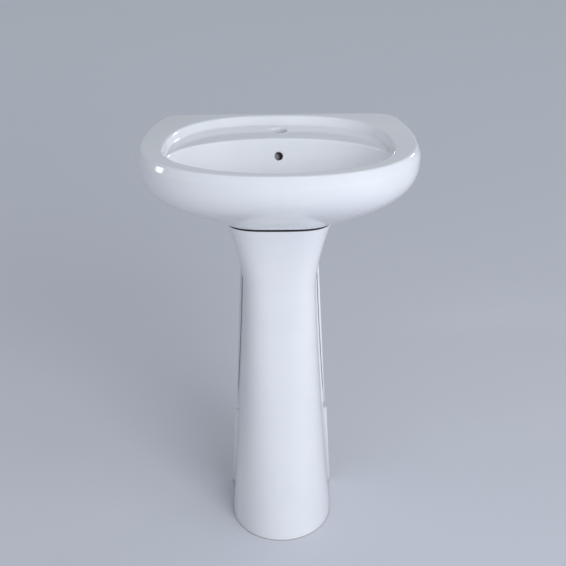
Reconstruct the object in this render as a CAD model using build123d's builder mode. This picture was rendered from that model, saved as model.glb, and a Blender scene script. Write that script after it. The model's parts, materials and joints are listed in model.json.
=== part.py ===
from build123d import *
import math
import os

# Pedestal sink in millimetres. +Z is up, the front faces -Y and the wall stands on the +Y side.
# A distance called "out" is measured from the wall plane towards the front.

# Overall sizes
RIM_HEIGHT = 850.0
BASIN_WIDTH = 560.0
BASIN_REACH = 405.0
STUD_REACH = 55.0

# Basin body
BASIN_DEPTH = 152.0
BULGE_DROP = 17.0
HULL_SIDE_CURVE = 3.0
HULL_SIDE_TUCK = 1.2
HULL_FRONT_CURVE = 2.75
HULL_FRONT_TUCK = 1.6
RIM_INSET = 7.0
RIM_ROUND = 7.0
BACK_WIDTH = 476.0
BACK_CORNER = 32.0
BACK_TRIM = 2.0
BASIN_WIDEST_OUT = 192.0
BASIN_FULLNESS = 0.735
SKIN = 10.0
FOOT_LIP = 4.0
BACK_BAND = 108.0
SERVICE_WIDTH = 250.0
SERVICE_REACH = 100.0

# Bowl, tap ledge and overflow
BOWL_WIDTH = 444.0
BOWL_FRONT_OUT = 376.0
BOWL_BACK_OUT = 113.0
BOWL_DEPTH = 132.0
BOWL_ROUND = 6.0
BOWL_SIDE_CURVE = 2.0
BOWL_FRONT_CURVE = 1.25
BOWL_BACK_CURVE = 1.5
BOWL_SEAT_RADIUS = 34.0
DRAIN_OUT = 185.0
DRAIN_CLEAR = 1.6
DRAIN_BOSS_WALL = 13.5
SEAT_SINK = 4.0
LEDGE_DROP = 18.0
LEDGE_THICK = 12.0
LEDGE_SLOPE = 9.0
RECESS_WIDTH = 452.0
RECESS_BACK_OUT = 16.0
RECESS_FULLNESS = 0.766
TAP_OUT = 58.0
TAP_RADIUS = 17.5
OVERFLOW_DROP = 54.0
OVERFLOW_RADIUS = 8.5
DUCT_WIDTH = 24.0
DUCT_DEPTH = 12.0
DUCT_WALL = 8.0
DUCT_FLOOR = 5.0
DUCT_THROAT = 9.0

# Pedestal
PAD_THICK = 4.0
PAD_LENGTH = 24.0
PAD_WIDTH = 8.0
PEDESTAL_WALL = 11.0
PEDESTAL_BACK_OUT = 50.0
PEDESTAL_WIDEST_OUT = 173.0
BASE_WIDTH = 212.0
BASE_FRONT_OUT = 312.0
BASE_FULLNESS = 0.709
WAIST_DROP = 150.0
WAIST_WIDTH = 150.0
WAIST_FRONT_OUT = 247.0
TOP_WIDTH = 216.0
TOP_FRONT_OUT = 278.0
TOP_FULLNESS = 0.82
BELLY_CURVE = 1.35
FLARE_CURVE = 1.55
FLANGE_BASE_WIDTH = 213.0
FLANGE_TOP_WIDTH = 162.0
FLANGE_DROP = 95.0
FLANGE_STEP = 4.0
FLANGE_THICK = 12.0
NOTCH_HEIGHT = 186.0
NOTCH_TALL = 14.0
NOTCH_DEEP = 4.0
LUG_OUT = 96.0
LUG_LENGTH = 44.0
LUG_WIDTH = 34.0
LUG_THICK = 16.0
LUG_HOLE_RADIUS = 7.0
BUSH_BORE_RADIUS = 3.5
BUSH_FLANGE_RADIUS = 11.0
BUSH_FLANGE_THICK = 2.5

# Waste and stopper
FIT = 0.3
SLIDE_FIT = 0.08
FLANGE_RADIUS = 32.0
WASTE_FLANGE_THICK = 3.0
FLANGE_GASKET_THICK = 2.0
WASTE_RADIUS = 20.9
WASTE_BORE_RADIUS = 17.5
WASTE_TAIL = 40.0
WASTE_SLOT_WIDTH = 14.0
LOWER_GASKET_RADIUS = 32.0
LOWER_GASKET_THICK = 6.0
THRUST_WASHER_THICK = 1.5
BACKNUT_WALL = 7.1
BACKNUT_THICK = 10.0
BRIDGE_DROP = 33.0
BRIDGE_THICK = 5.0
BRIDGE_WIDTH = 9.0
CARTRIDGE_RADIUS = 6.5
CARTRIDGE_HEIGHT = 25.0
CARTRIDGE_STUD_RADIUS = 3.0
STEM_RADIUS = 4.2
STEM_RAISE = 17.0
STOPPER_TRAVEL = 8.0
STOPPER_RADIUS = 30.0
STOPPER_EDGE = 3.0
STOPPER_DOME = 4.0
STOPPER_SEAL_THICK = 2.0
STOPPER_SEAL_RADIUS = 27.0
STOPPER_SEAL_BORE = 19.0
SPRING_WIRE_RADIUS = 0.45
SPRING_TURNS = 5.0

# Bottle trap and outlet
PIPE_RADIUS = 16.0
PIPE_WALL = 1.4
COUPLING_WALL = 5.1
COUPLING_GRIP = 12.0
COUPLING_WASHER_THICK = 2.5
COLLAR_THICK = 3.5
NUT_LIP = 5.0
TRAP_DROP = 66.0
TRAP_RADIUS = 34.0
TRAP_HEIGHT = 66.0
TRAP_WALL = 2.5
TRAP_ROUND = 9.0
NECK_RADIUS = 20.0
NECK_LENGTH = 16.0
SLIP_WASHER_THICK = 4.0
SLIP_NUT_RADIUS = 27.0
SLIP_NUT_GRIP = 11.0
GRIP_FLUTES = 10
GRIP_FLUTE_RADIUS = 4.0
GRIP_FLUTE_DEEP = 2.0
GRIP_CHAMFER = 1.5
OUTLET_DROP = 34.0
OUTLET_BOSS_LENGTH = 22.0
OUTLET_PIPE_REACH = 30.0
OUTLET_PIPE_INSERT = 14.0
OUTLET_END_RADIUS = 15.75
OUTLET_END_START = 1.0
SPIGOT_RADIUS = 31.0
SPIGOT_LENGTH = 18.0
SPIGOT_WALL = 3.5
SPIGOT_WEB = 4.0
CUP_DEPTH = 68.0
CUP_WALL = 2.7
CUP_SEAL_THICK = 4.0
CUP_ROUND = 12.0
CUP_FLUTES = 12
CUP_FLUTE_RADIUS = 4.0
CUP_FLUTE_DEEP = 1.0
CUP_FLUTE_RISE = 30.0
CUP_FLUTE_TALL = 30.0
DIP_CLEAR = 26.0
WALL_FLANGE_RADIUS = 36.0
WALL_FLANGE_THICK = 9.0

# Wall fixing
STUD_RADIUS = 5.0
STUD_PLUG_RADIUS = 4.5
STUD_SPACING = 280.0
STUD_DROP = 62.0
STUD_INSIDE = 40.0
STUD_HOLE_RADIUS = 8.5
SLEEVE_FLANGE_RADIUS = 14.0
SLEEVE_FLANGE_THICK = 3.0
STUD_WASHER_RADIUS = 11.0
STUD_WASHER_THICK = 2.0
STUD_NUT_FLATS = 17.0
STUD_NUT_THICK = 8.0

# Levels and places worked out from the sizes above
WALL_Y = (BASIN_REACH - STUD_REACH) / 2
FOOT_Z = RIM_HEIGHT - BASIN_DEPTH
BULGE_Z = RIM_HEIGHT - BULGE_DROP
LEDGE_Z = RIM_HEIGHT - LEDGE_DROP
CAVITY_Z = LEDGE_Z - LEDGE_THICK
SEAT_Z = RIM_HEIGHT - BOWL_DEPTH - SEAT_SINK
FOOT_HALF = TOP_WIDTH / 2 + FOOT_LIP
FOOT_FRONT_OUT = TOP_FRONT_OUT + FOOT_LIP
PEDESTAL_HEIGHT = FOOT_Z - PAD_THICK
WAIST_HEIGHT = PEDESTAL_HEIGHT - WAIST_DROP
FLANGE_HEIGHT = PEDESTAL_HEIGHT - FLANGE_DROP
DRAIN_RADIUS = WASTE_RADIUS + DRAIN_CLEAR
FLANGE_BASE_Z = SEAT_Z + FLANGE_GASKET_THICK
FLANGE_TOP_Z = FLANGE_BASE_Z + WASTE_FLANGE_THICK
WASTE_END_Z = FOOT_Z - WASTE_TAIL
WASTE_LENGTH = FLANGE_TOP_Z - WASTE_END_Z
BRIDGE_Z = FLANGE_TOP_Z - BRIDGE_DROP
STEM_FOOT_Z = BRIDGE_Z + STEM_RAISE
STOPPER_SEAL_Z = FLANGE_TOP_Z + STOPPER_TRAVEL + FIT
STOPPER_Z = STOPPER_SEAL_Z + STOPPER_SEAL_THICK
COLLAR_TOP_Z = WASTE_END_Z - COUPLING_WASHER_THICK
COLLAR_BASE_Z = COLLAR_TOP_Z - COLLAR_THICK
TRAP_TOP_Z = WASTE_END_Z - TRAP_DROP
TRAP_SHOULDER_Z = TRAP_TOP_Z - TRAP_HEIGHT
SPIGOT_END_Z = TRAP_SHOULDER_Z - SPIGOT_LENGTH
CUP_SEAT_Z = SPIGOT_END_Z - CUP_SEAL_THICK
CUP_BASE_Z = CUP_SEAT_Z - CUP_DEPTH
NECK_TOP_Z = TRAP_TOP_Z + NECK_LENGTH
OUTLET_Z = TRAP_TOP_Z - OUTLET_DROP
OUTLET_BOSS_OUT = DRAIN_OUT - TRAP_RADIUS - OUTLET_BOSS_LENGTH
STUD_Z = RIM_HEIGHT - STUD_DROP

LOW = (Align.CENTER, Align.CENTER, Align.MIN)


def out(distance):
    return WALL_Y - distance


# Working axes: the drain runs up, the outlet and the studs run back into the wall
DRAIN_AXIS = Plane(origin=(0, out(DRAIN_OUT), 0))
OUTLET_AXIS = Plane(origin=(0, WALL_Y, OUTLET_Z), x_dir=(1, 0, 0), z_dir=(0, 1, 0))
STUD_AXIS = Plane(origin=(0, WALL_Y, STUD_Z), x_dir=(1, 0, 0), z_dir=(0, 1, 0))
STUD_PLACES = [(-STUD_SPACING / 2, 0), (STUD_SPACING / 2, 0)]


def keep(builder, name):
    builder.part.label = name
    export_step(builder.part, "parts/" + name + ".step")


def front_curve(half_width, front, widest, fullness):
    """The rounded front of a plan outline, from its right-hand widest point to its left-hand one."""
    shoulder_x = fullness * half_width
    shoulder_y = out(widest + fullness * (front - widest))
    Spline(
        (half_width, out(widest)),
        (shoulder_x, shoulder_y),
        (0, out(front)),
        (-shoulder_x, shoulder_y),
        (-half_width, out(widest)),
        tangents=((0, -1), (0, 1)),
        tangent_scalars=(1, 1),
    )


def reach(share, curve):
    """How far out a rounded wall still stands, from 1 at its top to 0 where it is all turned in."""
    return (1 - share**curve) ** (1 / curve)


def slope(share, curve, tuck):
    """How far out the hull still stands: upright at its top, then in along a straight slope to its foot."""
    return (1 - share**curve) ** tuck


def basin_outline(share, inset, back):
    """Plan of the basin body at this share of the way down from its widest level to its foot."""
    across = slope(share, HULL_SIDE_CURVE, HULL_SIDE_TUCK)
    ahead = slope(share, HULL_FRONT_CURVE, HULL_FRONT_TUCK)
    half_width = FOOT_HALF + (BASIN_WIDTH / 2 - FOOT_HALF) * across - inset
    front = FOOT_FRONT_OUT + (BASIN_REACH - FOOT_FRONT_OUT) * ahead - inset
    widest = PEDESTAL_WIDEST_OUT + (BASIN_WIDEST_OUT - PEDESTAL_WIDEST_OUT) * across
    fullness = TOP_FULLNESS + (BASIN_FULLNESS - TOP_FULLNESS) * across
    level = BULGE_Z - (BULGE_Z - FOOT_Z - inset) * share
    return d_outline(level, half_width, front, widest, fullness, back)


def d_outline(level, half_width, front, widest, fullness, back):
    """A flat face with a straight back, rounded back corners, bowed sides and a rounded front."""
    back_half = half_width * BACK_WIDTH / BASIN_WIDTH
    with BuildSketch(Plane.XY.offset(level)) as outline:
        with BuildLine():
            Line((-back_half, out(back)), (back_half, out(back)))
            TangentArc((half_width, out(widest)), (back_half, out(back)), tangent=(0, 1))
            front_curve(half_width, front, widest, fullness)
            TangentArc((-half_width, out(widest)), (-back_half, out(back)), tangent=(0, 1))
        make_face()
        fillet(outline.vertices().group_by(Axis.Y)[-1], BACK_CORNER)
    return outline.sketch


def bowl_outline(share, grow):
    """Ellipse of the bowl at this share of its depth; grow gives the outside of the bowl's skin."""
    seat_front = DRAIN_OUT + BOWL_SEAT_RADIUS
    seat_back = DRAIN_OUT - BOWL_SEAT_RADIUS
    half_width = BOWL_SEAT_RADIUS + grow
    half_width += (BOWL_WIDTH / 2 - BOWL_SEAT_RADIUS) * reach(share, BOWL_SIDE_CURVE)
    front = seat_front + (BOWL_FRONT_OUT - seat_front) * reach(share, BOWL_FRONT_CURVE) + grow
    back = seat_back - (seat_back - BOWL_BACK_OUT) * reach(share, BOWL_BACK_CURVE) - grow
    with BuildSketch(Plane.XY.offset(RIM_HEIGHT - share * (BOWL_DEPTH + grow))) as outline:
        with Locations((0, out((front + back) / 2))):
            Ellipse(half_width, (front - back) / 2)
    return outline.sketch


def recess_outline(level, inset):
    """Plan of the sunk tap ledge: a full curve at the back, closed in front inside the bowl."""
    centre = (BOWL_FRONT_OUT + BOWL_BACK_OUT) / 2
    half_width = RECESS_WIDTH / 2 - inset / 2
    back = RECESS_BACK_OUT + inset
    shoulder_x = RECESS_FULLNESS * half_width
    shoulder_y = out(centre - RECESS_FULLNESS * (centre - back))
    front_radius = BOWL_FRONT_OUT - centre - 2 * SKIN
    with BuildSketch(Plane.XY.offset(level)) as outline:
        with BuildLine():
            Spline(
                (half_width, out(centre)),
                (shoulder_x, shoulder_y),
                (0, out(back)),
                (-shoulder_x, shoulder_y),
                (-half_width, out(centre)),
                tangents=((0, 1), (0, -1)),
                tangent_scalars=(1, 1),
            )
            EllipticalCenterArc((0, out(centre)), half_width, front_radius, start_angle=180, arc_size=180)
        make_face()
    return outline.sketch


def side_prism(points, width):
    """A solid of this width across X, with its side view given as (out, height) points."""
    with BuildPart() as prism:
        with BuildSketch(Plane.YZ):
            with BuildLine():
                Polyline(*[(out(distance), height) for distance, height in points], close=True)
            make_face()
        extrude(amount=width / 2, both=True)
    return prism.part


def waist_share(height):
    """How far the pedestal has spread from its waist at this height, and towards which end."""
    if height <= WAIST_HEIGHT:
        return ((WAIST_HEIGHT - height) / WAIST_HEIGHT) ** BELLY_CURVE, 0.0
    return 0.0, ((height - WAIST_HEIGHT) / (PEDESTAL_HEIGHT - WAIST_HEIGHT)) ** FLARE_CURVE


def pedestal_half(height):
    belly, flare = waist_share(height)
    return (WAIST_WIDTH + (BASE_WIDTH - WAIST_WIDTH) * belly + (TOP_WIDTH - WAIST_WIDTH) * flare) / 2


def pedestal_outline(height, inset, back):
    belly, flare = waist_share(height)
    half_width = pedestal_half(height) - inset
    front = WAIST_FRONT_OUT - inset
    front += (BASE_FRONT_OUT - WAIST_FRONT_OUT) * belly + (TOP_FRONT_OUT - WAIST_FRONT_OUT) * flare
    fullness = BASE_FULLNESS + (TOP_FULLNESS - BASE_FULLNESS) * height / PEDESTAL_HEIGHT
    with BuildSketch(Plane.XY.offset(height)) as outline:
        with BuildLine():
            Line((-half_width, out(back)), (half_width, out(back)))
            Line((half_width, out(back)), (half_width, out(PEDESTAL_WIDEST_OUT)))
            front_curve(half_width, front, PEDESTAL_WIDEST_OUT, fullness)
            Line((-half_width, out(PEDESTAL_WIDEST_OUT)), (-half_width, out(back)))
        make_face()
    return outline.sketch


def flange_edge(height):
    return (FLANGE_BASE_WIDTH + (FLANGE_TOP_WIDTH - FLANGE_BASE_WIDTH) * height / FLANGE_HEIGHT) / 2


def flange_outline(height, side, step):
    """Plan of one rear edge flange of the pedestal, rooted inside the pedestal's wall."""
    root = pedestal_half(height) - PEDESTAL_WALL / 2
    edge = max(flange_edge(height) + step, root + PEDESTAL_WALL / 4)
    with BuildSketch(Plane.XY.offset(height)) as outline:
        with Locations((side * (root + edge) / 2, out(PEDESTAL_BACK_OUT + FLANGE_THICK / 2))):
            Rectangle(edge - root, FLANGE_THICK)
    return outline.sketch


def ring(axis, outer, inner, start, end):
    with BuildPart(axis.offset(start)) as piece:
        Cylinder(outer, end - start, align=LOW)
        Cylinder(inner, end - start, align=LOW, mode=Mode.SUBTRACT)
    return piece


def hex_nut(axis, flats, start, end, bore):
    """A plain hexagon nut with its corners turned down at both ends."""
    corner = flats / math.sqrt(3)
    with BuildPart(axis.offset(start)) as piece:
        Cylinder(corner, end - start, align=LOW)
        chamfer(piece.edges().filter_by(GeomType.CIRCLE), corner - flats / 2 * 1.03)
        with BuildSketch(axis.offset(start)):
            RegularPolygon(flats / 2, 6, major_radius=False)
        extrude(amount=end - start, mode=Mode.INTERSECT)
        Cylinder(bore, end - start, align=LOW, mode=Mode.SUBTRACT)
    return piece


def cap_nut(blank, axis, start, end, bore, lip_start, lip_end):
    """Opens a nut blank out for its thread, leaving a lip with the smaller hole at one end."""
    thread_start = lip_end if lip_start == start else start
    with BuildPart() as nut:
        add(blank.part)
        with Locations(axis.offset(thread_start)):
            Cylinder(bore, end - start - (lip_end - lip_start), align=LOW, mode=Mode.SUBTRACT)
    return nut


os.makedirs("parts", exist_ok=True)

# Basin: outer skin first, then the bowl inside it, then every opening
BODY_SHARES = [0, 0.12, 0.26, 0.4, 0.54, 0.68, 0.8, 0.9, 1]
CAVITY_START = (BULGE_Z - CAVITY_Z) / (BULGE_Z - FOOT_Z - SKIN)
CAVITY_SHARES = [CAVITY_START] + BODY_SHARES[2:]
BOWL_SHARES = [0, 0.14, 0.32, 0.52, 0.70, 0.84, 0.94, 1]

with BuildPart() as body:
    rim = d_outline(
        RIM_HEIGHT,
        BASIN_WIDTH / 2 - RIM_INSET,
        BASIN_REACH - RIM_INSET,
        BASIN_WIDEST_OUT,
        BASIN_FULLNESS,
        -BACK_TRIM,
    )
    loft([rim] + [basin_outline(share, 0, -BACK_TRIM) for share in BODY_SHARES])
    fillet(body.faces().sort_by(Axis.Z)[-1].edges(), RIM_ROUND)
    split(bisect_by=Plane(origin=(0, WALL_Y, 0), z_dir=(0, -1, 0)))

with BuildPart() as bowl_skin:
    loft([bowl_outline(share, SKIN) for share in BOWL_SHARES])

OVERFLOW_Z = RIM_HEIGHT - OVERFLOW_DROP
DUCT_TOP_Z = OVERFLOW_Z + OVERFLOW_RADIUS + 1
DUCT_FRONT_OUT = BOWL_BACK_OUT - SKIN + 3
DUCT_BACK_OUT = DUCT_FRONT_OUT - DUCT_DEPTH
DUCT_TURN_Z = FOOT_Z + DUCT_FLOOR + DUCT_THROAT + 26
DUCT_LOW_Z = FOOT_Z + DUCT_FLOOR
DUCT_END_OUT = DRAIN_OUT - DRAIN_RADIUS / 2
overflow_rib = side_prism(
    [
        (DRAIN_OUT, DUCT_TOP_Z + DUCT_WALL),
        (DUCT_BACK_OUT - DUCT_WALL, DUCT_TOP_Z + DUCT_WALL),
        (DUCT_BACK_OUT - DUCT_WALL, DUCT_TURN_Z - DUCT_WALL),
        (DUCT_BACK_OUT + 36, FOOT_Z),
        (DRAIN_OUT, FOOT_Z),
    ],
    DUCT_WIDTH + 2 * DUCT_WALL,
)
overflow_duct = side_prism(
    [
        (DUCT_FRONT_OUT, DUCT_TOP_Z),
        (DUCT_BACK_OUT, DUCT_TOP_Z),
        (DUCT_BACK_OUT, DUCT_TURN_Z),
        (DUCT_BACK_OUT + 43, DUCT_LOW_Z),
        (DUCT_END_OUT, DUCT_LOW_Z),
        (DUCT_END_OUT, DUCT_LOW_Z + DUCT_THROAT),
        (DUCT_FRONT_OUT + 34, DUCT_LOW_Z + DUCT_THROAT),
        (DUCT_FRONT_OUT, DUCT_TURN_Z + 3),
    ],
    DUCT_WIDTH,
)

with BuildPart() as basin:
    add(body.part)
    loft([basin_outline(share, SKIN, SKIN) for share in CAVITY_SHARES], mode=Mode.SUBTRACT)
    with Locations((0, out(SERVICE_REACH / 2 - 1), FOOT_Z - 1)):
        Box(SERVICE_WIDTH, SERVICE_REACH + 2, BASIN_DEPTH - BACK_BAND + 1, align=LOW, mode=Mode.SUBTRACT)
    add(bowl_skin.part)
    add(overflow_rib)
    with Locations((0, out(DRAIN_OUT), FOOT_Z)):
        Cylinder(DRAIN_RADIUS + DRAIN_BOSS_WALL, BASIN_DEPTH - BOWL_DEPTH, align=LOW)
    loft([bowl_outline(share, 0) for share in BOWL_SHARES], mode=Mode.SUBTRACT)
    loft([recess_outline(LEDGE_Z, LEDGE_SLOPE), recess_outline(RIM_HEIGHT, 0)], ruled=True, mode=Mode.SUBTRACT)
    rim_face = basin.faces().filter_by(Axis.Z).sort_by(Axis.Z)[-1]
    fillet(rim_face.inner_wires()[0].edges(), BOWL_ROUND)
    add(overflow_duct, mode=Mode.SUBTRACT)
    with Locations((0, out(DRAIN_OUT), FOOT_Z)):
        Cylinder(DRAIN_RADIUS, BOWL_DEPTH, align=LOW, mode=Mode.SUBTRACT)
    with Locations((0, out(DRAIN_OUT), SEAT_Z)):
        Cylinder(FLANGE_RADIUS + 1, BOWL_DEPTH / 2, align=LOW, mode=Mode.SUBTRACT)
    with Locations((0, out(TAP_OUT), CAVITY_Z)):
        Cylinder(TAP_RADIUS, LEDGE_DROP + LEDGE_THICK, align=LOW, mode=Mode.SUBTRACT)
    with Locations(Plane(origin=(0, out(DRAIN_OUT), OVERFLOW_Z), z_dir=(0, 1, 0))):
        Cylinder(OVERFLOW_RADIUS, DRAIN_OUT - DUCT_BACK_OUT - 2, align=LOW, mode=Mode.SUBTRACT)
    with Locations(STUD_AXIS.offset(-SKIN - 1)):
        with Locations(*STUD_PLACES):
            Cylinder(STUD_HOLE_RADIUS, SKIN + 2, align=LOW, mode=Mode.SUBTRACT)
keep(basin, "basin")

# Pedestal: flared, waisted column with an open back, rear edge flanges and two floor lugs
LEVELS = [WAIST_HEIGHT * share for share in (0, 0.22, 0.45, 0.7, 1)]
LEVELS += [WAIST_HEIGHT + (PEDESTAL_HEIGHT - WAIST_HEIGHT) * share for share in (0.4, 0.75, 1)]
LOW_FLANGE_LEVELS = [NOTCH_HEIGHT * share for share in (0, 0.5, 1)]
HIGH_FLANGE_LEVELS = [NOTCH_HEIGHT + (FLANGE_HEIGHT - NOTCH_HEIGHT) * share for share in (0, 0.3, 0.65, 1)]
LUG_X = pedestal_half(0) - PEDESTAL_WALL - LUG_WIDTH / 2
LUG_PLACES = [(-LUG_X, out(LUG_OUT)), (LUG_X, out(LUG_OUT))]

with BuildPart() as pedestal:
    loft([pedestal_outline(level, 0, PEDESTAL_BACK_OUT) for level in LEVELS])
    loft(
        [pedestal_outline(level, PEDESTAL_WALL, PEDESTAL_BACK_OUT - PEDESTAL_WALL) for level in LEVELS],
        mode=Mode.SUBTRACT,
    )
    for side in (-1, 1):
        loft([flange_outline(level, side, FLANGE_STEP) for level in LOW_FLANGE_LEVELS], ruled=True)
        loft([flange_outline(level, side, 0) for level in HIGH_FLANGE_LEVELS], ruled=True)
        lug_x = side * (LUG_X + PEDESTAL_WALL / 4)
        with Locations((lug_x, out(LUG_OUT), 0)):
            Box(LUG_WIDTH + PEDESTAL_WALL / 2, LUG_LENGTH, LUG_THICK, align=LOW)
        notch_x = side * flange_edge(NOTCH_HEIGHT)
        with Locations((notch_x, out(PEDESTAL_BACK_OUT + FLANGE_THICK / 2), NOTCH_HEIGHT)):
            Box(2 * NOTCH_DEEP, FLANGE_THICK + 2, NOTCH_TALL, align=LOW, mode=Mode.SUBTRACT)
    with Locations(*LUG_PLACES):
        Cylinder(LUG_HOLE_RADIUS, LUG_THICK, align=LOW, mode=Mode.SUBTRACT)
keep(pedestal, "pedestal")

with BuildPart(Plane.XY.offset(PEDESTAL_HEIGHT)) as pedestal_pads:
    front_pad_out = TOP_FRONT_OUT - PEDESTAL_WALL / 2 - 1
    side_pad_x = TOP_WIDTH / 2 - PEDESTAL_WALL / 2
    with Locations((-TOP_WIDTH / 5, out(front_pad_out)), (TOP_WIDTH / 5, out(front_pad_out))):
        Box(PAD_LENGTH, PAD_WIDTH, PAD_THICK, align=LOW)
    with Locations((-side_pad_x, out(SERVICE_REACH + 40)), (side_pad_x, out(SERVICE_REACH + 40))):
        Box(PAD_WIDTH, PAD_LENGTH, PAD_THICK, align=LOW)
keep(pedestal_pads, "pedestal_pads")

with BuildPart() as floor_bushes:
    with Locations(*LUG_PLACES):
        Cylinder(LUG_HOLE_RADIUS - FIT, LUG_THICK, align=LOW)
        with Locations((0, 0, LUG_THICK)):
            Cylinder(BUSH_FLANGE_RADIUS, BUSH_FLANGE_THICK, align=LOW)
        Cylinder(BUSH_BORE_RADIUS, LUG_THICK + BUSH_FLANGE_THICK, align=LOW, mode=Mode.SUBTRACT)
keep(floor_bushes, "floor_bushes")

# Waste: flanged tube through the drain hole, clamped from below
with BuildPart(DRAIN_AXIS.offset(WASTE_END_Z)) as waste_body:
    Cylinder(WASTE_RADIUS, WASTE_LENGTH, align=LOW)
    with Locations((0, 0, FLANGE_BASE_Z - WASTE_END_Z)):
        Cylinder(FLANGE_RADIUS, WASTE_FLANGE_THICK, align=LOW)
    fillet(waste_body.faces().sort_by(Axis.Z)[-1].edges(), WASTE_FLANGE_THICK * 0.6)
    Cylinder(WASTE_BORE_RADIUS, WASTE_LENGTH, align=LOW, mode=Mode.SUBTRACT)
    with Locations((0, 0, DUCT_LOW_Z - WASTE_END_Z)):
        Box(WASTE_SLOT_WIDTH, 3 * WASTE_RADIUS, DUCT_THROAT, align=LOW, mode=Mode.SUBTRACT)
    with Locations((0, 0, BRIDGE_Z - BRIDGE_THICK - WASTE_END_Z)):
        Box(2 * WASTE_BORE_RADIUS + 1, BRIDGE_WIDTH, BRIDGE_THICK, align=LOW)
        Cylinder(CARTRIDGE_RADIUS + 1, BRIDGE_THICK, align=LOW)
        Cylinder(CARTRIDGE_STUD_RADIUS + SLIDE_FIT, BRIDGE_THICK, align=LOW, mode=Mode.SUBTRACT)
keep(waste_body, "waste_body")

waste_flange_gasket = ring(DRAIN_AXIS, FLANGE_RADIUS - 1, WASTE_RADIUS + FIT, SEAT_Z, FLANGE_BASE_Z)
keep(waste_flange_gasket, "waste_flange_gasket")

GASKET_BASE_Z = FOOT_Z - LOWER_GASKET_THICK
THRUST_BASE_Z = GASKET_BASE_Z - THRUST_WASHER_THICK
waste_lower_gasket = ring(DRAIN_AXIS, LOWER_GASKET_RADIUS, WASTE_RADIUS + FIT, GASKET_BASE_Z, FOOT_Z)
keep(waste_lower_gasket, "waste_lower_gasket")
waste_thrust_washer = ring(DRAIN_AXIS, LOWER_GASKET_RADIUS, WASTE_RADIUS + FIT, THRUST_BASE_Z, GASKET_BASE_Z)
keep(waste_thrust_washer, "waste_thrust_washer")
waste_backnut = hex_nut(
    DRAIN_AXIS,
    2 * (WASTE_RADIUS + BACKNUT_WALL),
    THRUST_BASE_Z - BACKNUT_THICK,
    THRUST_BASE_Z,
    WASTE_RADIUS + FIT,
)
keep(waste_backnut, "waste_backnut")

# Stopper: pressed down to close, lifted by the spring inside its cartridge
CARTRIDGE_BORE = STEM_RADIUS + SLIDE_FIT
with BuildPart(DRAIN_AXIS.offset(BRIDGE_Z)) as stopper_cartridge:
    Cylinder(CARTRIDGE_RADIUS, CARTRIDGE_HEIGHT, align=LOW)
    with Locations((0, 0, -BRIDGE_THICK - 3)):
        Cylinder(CARTRIDGE_STUD_RADIUS, BRIDGE_THICK + 4, align=LOW)
    with Locations((0, 0, 1)):
        Cylinder(CARTRIDGE_BORE, CARTRIDGE_HEIGHT, align=LOW, mode=Mode.SUBTRACT)
keep(stopper_cartridge, "stopper_cartridge")

SPRING_BASE_Z = BRIDGE_Z + 1
SPRING_RADIUS = CARTRIDGE_BORE - SPRING_WIRE_RADIUS - 0.25
SPRING_HEIGHT = STEM_FOOT_Z - SPRING_BASE_Z - 2 * SPRING_WIRE_RADIUS - 0.2
with BuildPart() as stopper_spring:
    with BuildLine(DRAIN_AXIS.offset(SPRING_BASE_Z + SPRING_WIRE_RADIUS + 0.1)) as coil:
        Helix(SPRING_HEIGHT / SPRING_TURNS, SPRING_HEIGHT, SPRING_RADIUS)
    with BuildSketch(Plane(origin=coil.line @ 0, z_dir=coil.line % 0)):
        Circle(SPRING_WIRE_RADIUS)
    sweep(is_frenet=True)
keep(stopper_spring, "stopper_spring")

with BuildPart(DRAIN_AXIS.offset(STEM_FOOT_Z)) as stopper_stem:
    Cylinder(STEM_RADIUS, STOPPER_Z + STOPPER_EDGE - STEM_FOOT_Z, align=LOW)
keep(stopper_stem, "stopper_stem")

stopper_seal = ring(DRAIN_AXIS, STOPPER_SEAL_RADIUS, STOPPER_SEAL_BORE, STOPPER_SEAL_Z, STOPPER_Z)
keep(stopper_seal, "stopper_seal")

DOME_RADIUS = (STOPPER_RADIUS**2 + STOPPER_DOME**2) / (2 * STOPPER_DOME)
with BuildPart(DRAIN_AXIS.offset(STOPPER_Z)) as stopper_cap:
    Cylinder(STOPPER_RADIUS, STOPPER_EDGE + STOPPER_DOME, align=LOW)
    with Locations((0, 0, STOPPER_EDGE + STOPPER_DOME - DOME_RADIUS)):
        Sphere(DOME_RADIUS, mode=Mode.INTERSECT)
    Cylinder(STEM_RADIUS + SLIDE_FIT, STOPPER_EDGE, align=LOW, mode=Mode.SUBTRACT)
keep(stopper_cap, "stopper_cap")

# Bottle trap: coupled to the waste, with a dip pipe, an outlet and an unscrewing cup
coupling_blank = hex_nut(
    DRAIN_AXIS,
    2 * (WASTE_RADIUS + COUPLING_WALL),
    COLLAR_BASE_Z - NUT_LIP,
    WASTE_END_Z + COUPLING_GRIP,
    PIPE_RADIUS + FIT,
)
trap_coupling_nut = cap_nut(
    coupling_blank,
    DRAIN_AXIS,
    COLLAR_BASE_Z - NUT_LIP,
    WASTE_END_Z + COUPLING_GRIP,
    WASTE_RADIUS + FIT,
    COLLAR_BASE_Z - NUT_LIP,
    COLLAR_BASE_Z,
)
keep(trap_coupling_nut, "trap_coupling_nut")

trap_coupling_washer = ring(DRAIN_AXIS, WASTE_RADIUS - FIT, PIPE_RADIUS - PIPE_WALL, COLLAR_TOP_Z, WASTE_END_Z)
keep(trap_coupling_washer, "trap_coupling_washer")

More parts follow.
